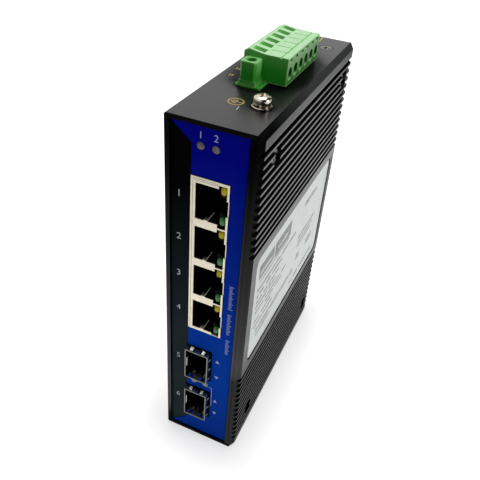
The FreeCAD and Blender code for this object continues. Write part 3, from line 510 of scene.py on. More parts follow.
def powder_coat():
    """Black of the case, with painted shade as gloss taken away near the plug and the floor and on faces
    that face the front, where a painted reflection grows downwards.
    """
    coat = Finish("black_powder_coat", (8, 8, 9), 0.26)
    coat.mottle((12, 12, 13), 9.0).gloss(0.28, 0.36, 1.2).bump(0.005, 0.35)
    # Painted reflection: faces that face the front get less gloss, growing downwards.
    ahead = coat.lean(coat.turned("Y", FACES_FRONT), 0.5, coat.along("Z", FRONT_RISE, 0.03, 0.3))
    # Painted shade: gloss taken away near the plug, its towers, the screw and the floor.
    return coat.sheen(coat.product(ahead, coat.closeness(16.0, 0.92, 0.77, 1.0, 0.04)))


def rib_band(cover):
    """Level of gloss: a painted highlight band on each upper rib, and one elsewhere."""
    ribbed = cover.product(
        cover.turned("X", RIB_FACES_OUT), cover.along("Z", RIBS_START), cover.along("Z", RIBS_END),
    )
    place = cover.repeat("Z", RIBS_START[0], RIB_PITCH)
    lower = cover.number(place, BAND_START, *BAND_LOW)
    upper = cover.number(place, BAND_END, *BAND_HIGH)
    return cover.lean(ribbed, 1.0, cover.product(lower, upper))


def anodised_cover():
    """Black of the cover, with a painted reflection on the top chamfer, painted highlights on the ribs,
    and painted shade as gloss taken away in grooves, on chamfers, at the back and beside the label.
    """
    cover = Finish("black_anodised", (6, 7, 7), 0.3)
    cover.mottle((10, 11, 11), 4.0, BRUSHED_Y).gloss(0.26, 0.36, 0.6, BRUSHED_Y)
    cover.worn_edge(0.12).bump(0.003, 0.25, BRUSHED_Y)
    upward = cover.turned("Z", FACES_UP)
    distant = cover.along("Y", TOP_CHAMFER_BACK, base=front_edge)
    # Painted reflection: a lighter grey on the upward top chamfer, growing towards the back.
    cover.blend((54, 56, 55), cover.product(upward, cover.along("Z", TOP_CHAMFER), distant))
    # Painted reflection on what faces the front: little gloss at the top, more lower down and most on the
    # lower ribs.
    rise = cover.product(cover.along("Z", FRONT_RISE, 0.05, 1.0), cover.along("Z", LOWER_RIBS, 1.0, 3.0))
    ahead = cover.lean(cover.turned("Y", FACES_FRONT), 1.0, rise)
    # Painted highlight on rib crests, and painted shade in grooves and along edges, by occlusion.
    crest = cover.closeness(1.0, 0.92, 0.6, 0.25, 0.85, inside=True)
    groove = cover.closeness(1.6, 0.97, 0.7, 1.0, 0.02)
    edge = cover.closeness(0.5, 0.9, 0.6, 1.0, 0.15, inside=True)
    # Painted shade on the far upper ribs and on the rim behind the label.
    far_ribs = cover.product(cover.along("Y", RIBS_BACK, base=front_edge), cover.along("Z", FAR_RIBS))
    pad_back = cover.product(
        cover.along("Y", PAD_BACK, base=front_edge), cover.along("Z", PAD_FROM), cover.along("Z", PAD_TO),
    )
    # Painted shade: less gloss on the lowest and the highest ribs.
    height = cover.product(cover.along("Z", LOWER_RIBS, 1.0, 0.1), cover.along("Z", UPPER_RIBS, 1.0, 0.35))
    level = cover.product(
        crest, ahead, groove, edge, height, rib_band(cover),
        cover.less(upward, 0.1), cover.less(far_ribs, 0.2), cover.less(pad_back, 0.15),
    )
    # Painted glimmer on the upward walls of the ribs, near their open edges.
    walls = cover.product(cover.turned("Z", RIB_FACES_UP), cover.along("Z", RIB_WALLS_TO))
    glimmer = cover.product(walls, cover.closeness(1.6, 0.65, 0.4, 0.2, 0.0))
    return cover.sheen(cover.combine("ADD", level, glimmer))


def front_finishes():
    """Black of the front plate and blue of its film, with painted reflection: paler towards the bottom,
    and the film darker towards the top.
    """
    panel = Finish("panel_black", (1, 1, 2), 0.5, level=0.01)
    # Painted reflection: the plate grows paler towards the bottom.
    panel.fade((48, 62, 66), "Z", PANEL_PALE).mottle((8, 9, 10), 7.0, share=0.15)
    film = Finish("blue_print_film", (0, 80, 205), 0.5, level=0.02)
    # Painted light: the film is darker towards the top and paler at its foot.
    film.fade((0, 4, 166), "Z", FILM_DARK).fade((0, 64, 181), "Z", FILM_FOOT)
    film.mottle((0, 30, 190), 6.0, share=0.15)
    return {
        "black_panel": panel.gloss(0.45, 0.58, 1.5).bump(0.005, 0.3),
        "blue_film": film.gloss(0.44, 0.56, 0.8).bump(0.003, 0.22),
    }


def cage_sheet():
    """Nickel of the module cages, with painted shade deep inside, on the inner face of the left wall and
    on faces that face the front.
    """
    # Colour of the painted shade inside the cages.
    inner = (9, 9, 10)
    cage = Finish("nickel_sheet", (176, 177, 170), 0.34, metallic=1.0)
    cage.mottle((150, 151, 145), 1.4).recess(inner, 5.0, 0.8, 0.5)
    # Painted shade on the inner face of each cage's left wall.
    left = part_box("cage_lower")[0].x / MM
    wall = cage.along("X", CAGE_WALL, base=left)
    cage.blend(inner, cage.product(cage.turned("X", CAGE_FACES_OUT), wall))
    # Painted shade: faces that face the front are darker.
    cage.blend((126, 126, 120), cage.turned("Y", CAGE_FACES_FRONT))
    # Painted shade: darker deeper behind the front edge.
    return cage.fade((4, 4, 5), "Y", CAGE_DARK, front_edge).gloss(0.28, 0.42, 0.8)


def jack_finishes():
    """Tin, black moulding and gold of the jacks, and the lenses of all lamps, with painted shade deep in
    the jacks and behind the fronts of the jack lamps.
    """
    tin = Finish("tin_plate", (222, 215, 196), 0.45, metallic=1.0)
    # Painted shade: tin darkens in corners and deeper behind the front edge.
    tin.mottle((212, 204, 184), 1.6).recess((60, 58, 52), 3.0, 0.6, 0.2)
    tin.fade((4, 4, 4), "Y", SHIELD_DARK, front_edge).gloss(0.4, 0.5, 0.9, BRUSHED_X)
    black = Finish("black_moulding", (4, 4, 5), 0.5, level=0.06)
    gold = Finish("gold_plate", (120, 98, 54), 0.3, metallic=1.0)
    # Painted shade: gold darkens deep in the jacks.
    gold.mottle((90, 70, 36), 0.8).recess((12, 10, 8), 8.0)
    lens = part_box("jack_green_lamps")[0].y / MM
    yellow = Finish("yellow_lens", (225, 212, 4), 0.22, level=0.2)
    # Painted shade: the yellow and green lenses darken behind their fronts.
    yellow.mottle((196, 182, 2), 0.7).fade((60, 54, 2), "Y", YELLOW_DARK, lens)
    green = Finish("green_lens", (30, 146, 44), 0.2, level=0.5)
    green.mottle((18, 118, 30), 0.7).fade((3, 18, 4), "Y", GREEN_DARK, lens)
    clear = Finish("milky_lens", (156, 146, 148), 0.3, level=0.12)
    frosted = Finish("frosted_lens", (186, 190, 194), 0.4, level=0.12)
    return {
        "tinned_steel": tin.worn_edge(0.08).bump(0.003, 0.3, BRUSHED_X),
        "black_plastic": black.mottle((7, 7, 8), 3.0).gloss(0.42, 0.58, 0.8).bump(0.004, 0.2),
        "gold_contact": gold.gloss(0.24, 0.36, 0.5),
        "yellow_lens": yellow.gloss(0.16, 0.28, 0.5),
        "green_lens": green.gloss(0.14, 0.26, 0.5),
        "clear_lens": clear.mottle((112, 106, 112), 0.9).gloss(0.24, 0.36, 0.5),
        "frosted_lens": frosted.mottle((164, 168, 174), 0.9).gloss(0.34, 0.46, 0.5),
    }


def paint_plug_side_light(green, middle, side):
    """Painted light and shade on the plug's sides and towers: greens lighter or darker by the way that
    they face and lower down, and a painted highlight on thin edges.
    """
    for way in (-1, 1):
        end = green.along("Y", [way * place for place in BLOCK_END], base=middle)
        green.blend((128, 200, 118), end)
        green.blend((50, 144, 40), green.product(end, green.along("Z", TOWER_FALL)))
    green.blend((120, 200, 108), green.turned("X", PLUG_FACES_LEFT))
    green.blend((120, 200, 108), green.turned("Y", PLUG_FACES_BACK))
    before = green.along("Y", BLOCK_FRONT, base=middle)
    ahead = green.product(before, green.turned("Y", PLUG_FACES_FRONT))
    green.blend((92, 178, 82), ahead)
    green.blend((36, 154, 33), green.product(ahead, green.along("Z", FRONT_FALL)))
    outer = green.along("X", PLUG_SIDE, base=side)
    right = green.product(green.turned("X", PLUG_FACES_RIGHT), outer)
    green.blend((110, 160, 100), right)
    green.blend((60, 128, 52), green.product(right, green.along("Z", RIGHT_FALL)))
    # Painted highlight on thin walls and edges, except where they face up.
    thin = green.closeness(0.7, 0.88, 0.55, 0.0, 0.8, inside=True)
    green.blend((150, 214, 124), green.product(thin, green.turned("Z", PLUG_NOT_UP)))


def light_plug_openings(green, middle, side):
    """Painted light in the plug's pockets and narrow grooves, partly as a glow, painted shade and less
    sheen in its wire holes, and a painted highlight on their lower lips.
    """
    lit = (160, 236, 140)
    inside = green.product(*[
        green.along("Y", [way * place for place in BLOCK_INSIDE], base=middle) for way in (-1, 1)
    ])
    deep = green.closeness(3.0, 0.9, 0.6)
    pocket = green.product(deep, inside, green.along("X", PLUG_POCKETS, base=side))
    narrow = green.product(green.closeness(0.8, 0.8, 0.4), inside, green.along("Z", GROOVES_FROM))
    green.blend(lit, pocket).blend(lit, narrow)
    # Painted light: a glow in the pockets and narrow grooves, though they are no lamp.
    glow = green.lean(green.less(narrow), 0.14, green.number(pocket, (0.0, 1.0), 0.0, 0.22))
    green.join(glow, green.shader.inputs["Emission Strength"])
    hole = green.product(
        green.turned("X", HOLE_NOT_RIGHT), inside, green.along("X", PLUG_HOLES, base=side),
        green.along("Z", HOLES_TO),
    )
    # Painted shade and less sheen in the wire holes.
    green.blend((30, 120, 24), hole).sheen(green.number(hole, (0.0, 1.0), 0.3, 0.01))
    # Painted highlight on the lower lip of each wire hole.
    lip = green.product(hole, green.turned("Z", HOLE_FACES_UP), green.along("X", PLUG_LIPS, base=side))
    green.blend((190, 242, 180), lip)


def plug_moulding():
    """Green of the terminal block, pale as its lit top, with painted light and shade on its sides and
    openings.
    """
    low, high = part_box("terminal_plug")
    middle = (low.y + high.y) / 2 / MM
    side = high.x / MM
    green = Finish("green_moulding", (190, 234, 183), 0.42, level=0.3)
    # Colour of the painted glow in the pockets and grooves.
    green.fix("Emission Color", linear((92, 160, 84))).mottle((182, 230, 174), 3.0)
    paint_plug_side_light(green, middle, side)
    light_plug_openings(green, middle, side)
    return green.gloss(0.38, 0.48, 0.7).worn_edge(0.16).bump(0.003, 0.2)


def screw_finishes():
    """Blackened screws in the top and cover, with painted shade in their recesses and round the top
    screw's head, and nickel of the grounding point.
    """
    # Colour of the painted shade in the driver recesses.
    recess = (3, 3, 3)
    dark = Finish("blackened_screw", (116, 117, 111), 0.28, metallic=1.0)
    dark.mottle((136, 137, 130), 0.8).recess(recess, 1.2, 0.85, 0.5)
    low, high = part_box("case_screw")
    face = Vector(((low.x + high.x) / 2, (low.y + high.y) / 2, high.z))
    # Painted shade: a dark ring round the edge of the top screw's head.
    dark.blend((12, 13, 13), dark.around(face, SCREW_RIM))
    blued = Finish("blued_screw", (58, 58, 56), 0.3, metallic=1.0)
    blued.mottle((76, 76, 73), 0.8).recess(recess, 1.2, 0.85, 0.5)
    nickel = Finish("nickel_plate", (224, 214, 200), 0.16, metallic=1.0)
    return {
        "black_screw": dark.gloss(0.22, 0.34, 0.5).bump(0.003, 0.2),
        "cover_screws": blued.gloss(0.24, 0.36, 0.5).bump(0.003, 0.2),
        "nickel_screw": nickel.mottle((200, 188, 172), 0.9).gloss(0.12, 0.24, 0.6).bump(0.002, 0.2),
    }


def plain_finishes():
    """Board, clamps, plated and bare metal, and the label's paper, with painted shade in the recesses of
    the zinc and the clamps.
    """
    laminate = Finish("solder_mask", (18, 84, 46), 0.35)
    zinc = Finish("zinc_plate", (176, 178, 178), 0.3, metallic=1.0)
    # Painted shade deep in recesses of the zinc.
    zinc.mottle((150, 152, 156), 1.0).recess((10, 12, 10), 6.0)
    clamp = Finish("clamp_steel", (44, 92, 38), 0.45, metallic=1.0)
    # Painted shade deep in recesses of the clamps.
    clamp.mottle((30, 74, 26), 0.8).recess((6, 26, 5), 4.0, 0.7, 0.3).gloss(0.38, 0.52, 0.6)
    plain = Finish("plain_aluminium", (206, 207, 209), 0.38, metallic=1.0)
    plain.mottle((190, 191, 194), 1.5, BRUSHED_X).gloss(0.3, 0.46, 0.5, BRUSHED_X)
    spring = Finish("spring_steel", (160, 160, 162), 0.3, metallic=1.0)
    spring.mottle((140, 140, 143), 1.2, BRUSHED_X)
    paper = Finish("label_stock", (220, 225, 222), 0.4, level=0.3)
    return {
        "board_laminate": laminate.mottle((34, 104, 60), 1.2, BRUSHED_Z).gloss(0.28, 0.42, 0.7),
        "zinc_steel": zinc.gloss(0.24, 0.4, 0.7),
        "clamp_cages": clamp,
        "clamp_screws": clamp,
        "plain_aluminium": plain.bump(0.006, 0.2, BRUSHED_X),
        "spring_steel": spring.gloss(0.24, 0.38, 0.6, BRUSHED_X),
        "label_paper": paper.mottle((213, 218, 216), 8.0).gloss(0.34, 0.46, 1.5).bump(0.002, 0.3),
    }


def print_finishes():
    """Inks, and a glowing painted highlight for the grounding tabs' edges and the cages' strips."""
    inks = {  # colour, the one that it drifts to, and the size of the drift
        "grey_print": ((228, 232, 236), (200, 204, 210), 0.5),
        "pale_print": ((206, 218, 244), (176, 192, 228), 0.5),
        "yellow_print": ((206, 182, 96), (178, 152, 70), 0.5),
        "label_print": ((118, 120, 121), (150, 152, 152), 0.6),
        "label_field": ((112, 114, 115), (138, 140, 140), 0.6),
    }
    made = {name: Finish(name, colour, 0.5).mottle(*drift) for name, (colour, *drift) in inks.items()}
    # Painted highlight that glows though it is no lamp.
    glint = Finish("painted_glint", (240, 238, 228), 0.3).mottle((214, 211, 200), 0.6)
    glint.fix("Emission Color", linear((200, 198, 188))).fix("Emission Strength", 0.42)
    made["painted_glint"] = glint
    return made


def make_finishes():
    """All materials, by names of slots, nodes and prints."""
    made = {
        "black_steel": powder_coat(),
        "black_aluminium": anodised_cover(),
        "cage_steel": cage_sheet(),
        "green_plastic": plug_moulding(),
    }
    for group in (front_finishes, jack_finishes, screw_finishes, plain_finishes, print_finishes):
        made.update(group())
    return {name: finish.material for name, finish in made.items()}


def mesh_of(bm, name, smooth=True):
    """Mesh of a built form, with soft shading or flat faces."""
    bmesh.ops.recalc_face_normals(bm, faces=bm.faces)
    mesh = bpy.data.meshes.new(name)
    bm.to_mesh(mesh)
    bm.free()
    if smooth:
        shade_soft(mesh)
    return mesh


def shade_soft(mesh):
    """Soft shading with sharp edges from an angle up."""
    mesh.shade_smooth()
    mesh.set_sharp_from_angle(angle=math.radians(SMOOTH_ANGLE))


def add_piece(name, mesh, finish, stands_for=()):
    """New piece on the switch's body, which may stand for CAD nodes."""
    mesh.materials.clear()
    mesh.materials.append(finish)
    piece = add_object(name, mesh)
    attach(piece, BODY)
    if stands_for:
        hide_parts(*stands_for)


def add_flat(name, bm, finish):
    """New piece with flat faces, such as print."""
    add_piece(name, mesh_of(bm, name, smooth=False), finish)


def node_form(node):
    """Welded copy of a CAD node's mesh, with whole flat faces."""
    bm = bmesh.new()
    bm.from_mesh(frame["nodes"][node].data)
    bmesh.ops.remove_doubles(bm, verts=bm.verts, dist=WELD * MM)
    bmesh.ops.dissolve_limit(bm, angle_limit=math.radians(FLAT_ANGLE), verts=bm.verts, edges=bm.edges)
    return bm


def solids_of(node):
    """Low and high corner of each solid in a CAD node, from the lowest up."""
    bm = node_form(node)
    left = set(bm.verts)
    boxes = []
    while left:
        found = [left.pop()]
        for vert in found:
            near = {edge.other_vert(vert) for edge in vert.link_edges} & left
            left -= near
            found += near
        low = Vector([min(v.co[k] for v in found) for k in range(3)])
        high = Vector([max(v.co[k] for v in found) for k in range(3)])
        boxes.append((low, high))
    bm.free()
    return sorted(boxes, key=lambda pair: [round(place, SORT_DIGITS) for place in reversed(pair[0])])


def facing(centre, axis):
    """Matrix that puts the local Z axis on a direction at a point."""
    return Matrix.Translation(centre) @ axis.to_track_quat("Z", "Y").to_matrix().to_4x4()


def skin(bm, rings):
    """Faces between rings of points, and a face at either end."""
    for lower, upper in zip(rings, rings[1:]):
        for k in range(len(lower)):
            bm.faces.new((lower[k - 1], lower[k], upper[k], upper[k - 1]))
    bm.faces.new(rings[0])
    bm.faces.new(rings[-1])


def round_edges(bm, edges, width, segments, clamp=False):
    """Edges rounded by a width in millimetres."""
    bmesh.ops.bevel(
        bm, geom=edges, offset=width * MM, offset_type="OFFSET", segments=segments, profile=ROUND_PROFILE,
        affect="EDGES", clamp_overlap=clamp,
    )


def turn_profile(bm, profile, place, closed=False):
    """Turned form from (radius, height) points; a zero radius is a point on the axis."""
    rings = []
    for radius, height in profile:
        sides = TURNED_SIDES if radius else 1
        turns = [2 * math.pi * k / sides for k in range(sides)]
        points = [Vector((radius * math.cos(turn), radius * math.sin(turn), height)) for turn in turns]
        rings.append([bm.verts.new(place @ (point * MM)) for point in points])
    pairs = list(zip(rings, rings[1:]))
    if closed:
        pairs.append((rings[-1], rings[0]))
    for lower, upper in pairs:
        for k in range(TURNED_SIDES):
            after = k + 1
            corners = [ring[turn % len(ring)] for ring, turn in
                       ((lower, k), (lower, after), (upper, after), (upper, k))]
            bm.faces.new(list(dict.fromkeys(corners)))


def dome(radius, start, end, power):
    """Profile points of a crown from its rim to its top on the axis."""
    points = []
    for k in range(ARC_STEPS):
        turn = math.pi / 2 * k / ARC_STEPS
        out = math.cos(turn) ** (2 / power)
        rise = math.sin(turn) ** (2 / power)
        points.append((radius * out, start + (end - start) * rise))
    return points + [(0, end)]


def chamfered(u0, u1, v0, v1, cut):
    """Outline of a rectangle with its corners cut off."""
    return [
        (u0, v0 + cut), (u0 + cut, v0), (u1 - cut, v0), (u1, v0 + cut),
        (u1, v1 - cut), (u1 - cut, v1), (u0 + cut, v1), (u0, v1 - cut),
    ]


def cross_cutter(bm, place, face):
    """Tapered cross of a driver recess."""
    half = CROSS_WIDTH / 2
    quarter = [(half, half), (CROSS_ARM, half), (CROSS_ARM, -half)]
    outline = []
    for turn in range(4):
        outline += quarter
        quarter = [(y, -x) for x, y in quarter]
    rings = []
    for height, share in ((face + CROSS_ABOVE, 1.0), (face, 1.0), (face - CROSS_DEPTH, CROSS_FLOOR)):
        points = [Vector((x * share, y * share, height)) * MM for x, y in outline]
        rings.append([bm.verts.new(place @ point) for point in points])
    skin(bm, rings)


def cut_away(mesh, cutter):
    """Mesh with another one cut out of it."""
    body = add_object("cut_body", mesh)
    tool = add_object("cut_tool", cutter)
    step = body.modifiers.new("cut", "BOOLEAN")
    step.operation = "DIFFERENCE"
    step.solver = "EXACT"
    step.object = tool
    shown = body.evaluated_get(bpy.context.evaluated_depsgraph_get())
    result = bpy.data.meshes.new_from_object(shown)
    bpy.data.objects.remove(body)
    bpy.data.objects.remove(tool)
    shade_soft(result)
    return result


def make_screws(name, node, axis, profile_of, finish):
    """Turned screws with driver recesses in place of a node."""
    heads = bmesh.new()
    crosses = bmesh.new()
    for low, high in solids_of(node):
        middle = (low + high) / 2
        top = max(low.dot(axis), high.dot(axis))
        place = facing(middle + axis * (top - middle.dot(axis)), axis)
        length = abs((high - low).dot(axis)) / MM
        across = max(size for size, way in zip(high - low, axis) if not way)
        profile, face = profile_of(across / MM / 2, length)
        turn_profile(heads, profile, place)
        cross_cutter(crosses, place, face)
    mesh = cut_away(mesh_of(heads, name), mesh_of(crosses, name + "_recess", smooth=False))
    add_piece(name, mesh, finish, (node,))


def shank(length):
    """Profile of a plain shank's tip."""
    return [(0, -length), (SCREW_RADIUS - EDGE_ROUND, -length), (SCREW_RADIUS, -length + EDGE_ROUND)]


def sunk_profile(radius, length):
    """Countersunk head on a plain shank, from the tip up, and the height of its face."""
    head = [(SCREW_RADIUS, SCREW_RADIUS - radius)]
    rim = [(radius - inset, -drop) for inset, drop in SUNK_RIM]
    return shank(length) + head + rim + [(0, 0)], 0.0


def pan_profile(radius, length):
    """Crowned pan head that sits on the spring washer, and its plain shank."""
    seat = (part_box("ground_spring_washer")[1].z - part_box("ground_screw")[1].z) / MM
    head = [
        (SCREW_RADIUS, seat), (radius - EDGE_ROUND, seat), (radius - PAN_RIM, seat + PAN_RIM),
        (radius, seat + EDGE_ROUND),
    ]
    crown = dome(radius, seat * (1 - CROWN_START), 0, CROWN_POWER)
    return shank(length) + head + crown, PAN_FACE


def make_flat_washer(finish):
    """Flat washer with its edges broken, under the ground screw."""
    low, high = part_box("ground_flat_washer")
    height = (high.z - low.z) / MM
    radius = (high.x - low.x) / MM / 2
    centre = Vector(((low.x + high.x) / 2, (low.y + high.y) / 2, low.z))
    ring = chamfered(WASHER_BORE, radius, 0, height, WASHER_EDGE)
    bm = bmesh.new()
    turn_profile(bm, ring, facing(centre, AXIS_Z), closed=True)
    mesh = mesh_of(bm, "flat_washer")
    add_piece("flat_washer", mesh, finish, ("ground_flat_washer",))
    return centre


def make_spring_washer(finish, centre):
    """Split spring washer that rises from one end to the other."""
    low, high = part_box("ground_spring_washer")
    radius = (high.x - low.x) / MM / 2
    height = (high.z - low.z) / MM - SPRING_LIFT
    base = Vector((centre.x, centre.y, low.z))
    start = math.radians(SPRING_SIDE + SPRING_GAP)
    sweep = math.radians(360 - 2 * SPRING_GAP)
    section = chamfered(WASHER_BORE, radius, 0, height, SPRING_EDGE)
    bm = bmesh.new()
    rings = []
    for k in range(TURNED_SIDES + 1):
        share = k / TURNED_SIDES
        turn = start + sweep * share
        verts = []
        for out, up in section:
            local = Vector((out * math.cos(turn), out * math.sin(turn), up + SPRING_LIFT * share)) * MM
            verts.append(bm.verts.new(base + local))
        rings.append(verts)
    skin(bm, rings)
    mesh = mesh_of(bm, "spring_washer")
    add_piece("spring_washer", mesh, finish, ("ground_spring_washer",))


def make_round_lamps(name, node, finish):
    """Lamps with domed noses in place of a node."""
    bm = bmesh.new()
    for low, high in solids_of(node):
        radius = (high.x - low.x) / MM / 2
        length = (high.y - low.y) / MM
        centre = Vector(((low.x + high.x) / 2, high.y, (low.z + high.z) / 2))
        nose = dome(radius, length - LAMP_NOSE, length, ROUND_POWER)
        turn_profile(bm, [(0, 0), (radius, 0)] + nose, facing(centre, -AXIS_Y))
    add_piece(name, mesh_of(bm, name), finish, (node,))


def make_jack_lamps(name, node, finish):
    """Rounded lamps in place of a node."""
    bm = bmesh.new()
    for low, high in solids_of(node):
        block = bmesh.ops.create_cube(bm, size=1.0)["verts"]
        size = high - low
        for vert in block:
            vert.co = (low + high) / 2 + vert.co * size
        limit = low.y + JACK_LAMP_FRONT * MM
        own = [e for e in bm.edges if e.verts[0] in block and e.verts[1] in block]
        front = [e for e in own if min(v.co.y for v in e.verts) < limit]
        round_edges(bm, front, JACK_LAMP_ROUND, JACK_LAMP_SEGMENTS)
    add_piece(name, mesh_of(bm, name), finish, (node,))


def soften(node, finish):
    """Copy of a node with its long edges rounded, in its place."""
    width, shortest = SOFT_EDGES[node]
    bm = node_form(node)
    edges = [
        edge for edge in bm.edges
        if len(edge.link_faces) == 2 and edge.calc_length() >= shortest * MM
        and math.degrees(edge.calc_face_angle(0.0)) > SHARP_FROM
    ]
    round_edges(bm, edges, width, SOFT_SEGMENTS, clamp=True)
    bmesh.ops.triangulate(bm, faces=[f for f in bm.faces if len(f.verts) > 4])
    mesh = mesh_of(bm, node + "_soft")
    for face in mesh.polygons:
        face.use_smooth = max(abs(way) for way in face.normal) < SQUARE_FACE
    add_piece(node + "_soft", mesh, finish, (node,))


class Sheet:
    """Plane that takes print, with places across and up it."""

    def __init__(self, origin, across, up):
        self.origin = origin
        self.across = across
        self.up = up
        self.out = across.cross(up)

    def point(self, u, v, lift=0.0):
        """Point of the scene from a place on the sheet."""
        return self.origin + (self.across * u + self.up * v + self.out * lift) * MM

    def patch(self, bm, outline):
        """Thin slab of ink with the given outline."""
        lifts = (0.0, INK)
        skin(bm, [[bm.verts.new(self.point(u, v, lift)) for u, v in outline] for lift in lifts])

    def bar(self, bm, u0, u1, v0, v1):
        """Upright rectangle."""
        self.patch(bm, ((u0, v0), (u1, v0), (u1, v1), (u0, v1)))

    def line(self, bm, start, end, width):
        """Straight stroke between two points."""
        a = Vector(start)
        b = Vector(end)
        run = (b - a).normalized()
        side = Vector((-run.y, run.x)) * (width / 2)
        self.patch(bm, [tuple(p) for p in (a - side, b - side, b + side, a + side)])

    def figures(self, bm, text, u, v, size):
        """Plain figures, centred on a point."""
        curve = bpy.data.curves.new("figures", "FONT")
        curve.body = text
        curve.size = size * MM
        curve.align_x = "CENTER"
        curve.align_y = "CENTER"
        curve.extrude = INK / 2 * MM
        holder = add_object("figures", curve)
        shown = holder.evaluated_get(bpy.context.evaluated_depsgraph_get())
        mesh = bpy.data.meshes.new_from_object(shown)
        place = Matrix((self.across, self.up, self.out)).transposed().to_4x4()
        place.translation = self.point(u, v, INK / 2)
        mesh.transform(place)
        bm.from_mesh(mesh)
        bpy.data.objects.remove(holder)
        bpy.data.meshes.remove(mesh)
        bpy.data.curves.remove(curve)


def front_sheet(node):
    """Sheet on the front of a node."""
    origin = Vector((case_low.x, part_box(node)[0].y, case_low.z))
    return Sheet(origin, AXIS_X, AXIS_Z)


def make_port_figures(finish):
    """Figures beside the jacks and cages."""
    panel = front_sheet("front_panel")
    bm = bmesh.new()
    for k, z in enumerate(PORT_MARK_Z):
        panel.figures(bm, str(k + 1), PORT_MARK_X, z, PORT_MARK_SIZE)
    add_flat("port_figures", bm, finish)


def make_film_print(finish):
    """Figures over the lamps, arrows and a bracket by the cages, and strokes up the right side."""
    film = front_sheet("front_overlay")
    bm = bmesh.new()
    for k, (low, high) in enumerate(solids_of("status_lamps")):
        film.figures(bm, str(k + 1), ((low.x + high.x) / 2 - case_low.x) / MM, LAMP_MARK_Z, LAMP_MARK_SIZE)
    for z, way in ARROWS:
        half = ARROW_HEIGHT / 2 * way
        left = ARROW_X - ARROW_WIDTH / 2
        right = ARROW_X + ARROW_WIDTH / 2
        film.patch(bm, ((left, z - half), (right, z - half), (ARROW_X, z + half)))
    for start, end in zip(BRACKET_LINE, BRACKET_LINE[1:]):
        film.line(bm, start, end, RULE)
    left = WORD_X - WORD_HEIGHT / 2
    for top, bottom in WORD_SPANS:
        for k in range(int((top - bottom) / WORD_PITCH)):
            z = top - k * WORD_PITCH
            reach = WORD_HEIGHT if k % TALL_EVERY else WORD_HEIGHT * TALL_SHARE
            film.bar(bm, left, left + reach, z - WORD_STROKE, z)
    add_flat("film_figures", bm, finish)


def print_ground_sign(top, bm):
    """Common earth sign: a ring, a stem and three bars that grow shorter."""
    u, v = SIGN_PLACE
    outer = SIGN_RADIUS
    inner = outer - SIGN_LINE
    turns = [2 * math.pi * k / SIGN_SIDES for k in range(SIGN_SIDES + 1)]
    for a, b in zip(turns, turns[1:]):
        corners = ((inner, a), (outer, a), (outer, b), (inner, b))
        top.patch(bm, [(u + r * math.cos(t), v + r * math.sin(t)) for r, t in corners])
    top.line(bm, (u + inner, v), (u, v), SIGN_LINE)
    for k, half in enumerate(SIGN_BARS):
        x = u - k * SIGN_STEP
        top.line(bm, (x, v - half), (x, v + half), SIGN_LINE)


def make_top_print(finishes):
    """Earth sign, ticks at the terminals, a line behind the block and a tick by the ground screw."""
    top = Sheet(Vector((case_low.x, case_low.y, case_high.z)), AXIS_X, AXIS_Y)
    bm = bmesh.new()
    print_ground_sign(top, bm)
    for x, y in TERMINAL_TICKS:
        for aside in TERMINAL_PAIR:
            top.line(bm, (x + aside, y - TERMINAL_HALF), (x + aside, y + TERMINAL_HALF), TERMINAL_STROKE)
    top.line(bm, *TERMINAL_LINE, TERMINAL_RULE)
    add_flat("top_print", bm, finishes["yellow_print"])
    bm = bmesh.new()
    top.line(bm, *TICK, RULE)
    add_flat("top_tick", bm, finishes["grey_print"])


def print_row(sheet, bm, chance, span, low, height, sizes, gaps):
    """Short bars of uneven width and height along a stretch."""
    y = span[0]
    while y < span[1]:
        word = chance.uniform(*sizes)
        sheet.bar(bm, y, min(y + word, span[1]), low, low + height * chance.uniform(LABEL_UNEVEN, 1.0))
        y += word + chance.uniform(*gaps)


def make_label_print(finishes):
    """Plain fields and rows of short bars on the label, with nothing to read."""
    chance = random.Random(SEED)
    origin = Vector((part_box("rating_label")[1].x, case_low.y, case_low.z))
    label = Sheet(origin, AXIS_Y, AXIS_Z)
    bm = bmesh.new()
    for z, height, spans in LABEL_ROWS:
        for span in spans:
            print_row(label, bm, chance, span, z - height / 2, height, LABEL_WORD, LABEL_WORD_GAP)
    for z, height, span in LABEL_STROKES:
        print_row(label, bm, chance, span, z - height / 2, height, LABEL_STROKE, LABEL_STROKE_GAP)
    add_flat("label_rows", bm, finishes["label_print"])
    bm = bmesh.new()
    for field in LABEL_FIELDS:
        label.bar(bm, *field)
    add_flat("label_fields", bm, finishes["label_field"])
    bm = bmesh.new()
    over = Sheet(label.point(0, 0, INK), AXIS_Y, AXIS_Z)
    low, high = FIELD_BAR
    for span in FIELD_BARS:
        print_row(over, bm, chance, span, low, high - low, LABEL_WORD, LABEL_WORD_GAP)
    add_flat("field_rows", bm, finishes["label_paper"])


def make_tab_edge_highlights(finish):
    """Painted highlight along the right side of the grounding tab in each jack."""
    bm = bmesh.new()
    half = TAB_EDGE_SIZE[0] / 2
    x, y, z = TAB_EDGE_START
    back, rise = TAB_EDGE_RUN
    for k in range(JACK_COUNT):
        ends = []
        for run, lift, share in ((0, 0, 1), (back, rise, TAB_EDGE_TAPER)):
            low = z + k * JACK_PITCH + lift
            high = low + TAB_EDGE_SIZE[1]
            corners = ((-half, low), (half, low), (half, high), (-half, high))
            ends.append([bm.verts.new(at(x + out * share, y + run, up)) for out, up in corners])
        skin(bm, ends)
    add_flat("tab_edge_highlights", bm, finish)


def make_strip_highlights(finish):
    """Painted highlight on the grounding strip in each cage's mouth."""
    bm = bmesh.new()
    outline = chamfered(*STRIP_Y, -STRIP_HALF, STRIP_HALF, STRIP_CORNER)
    for node in ("cage_lower", "cage_upper"):
        low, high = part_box(node)
        place = Vector((at(STRIP_X, 0, 0).x, low.y, (low.z + high.z) / 2))
        Sheet(place, AXIS_Y, AXIS_Z).patch(bm, outline)
    add_flat("strip_highlights", bm, finish)


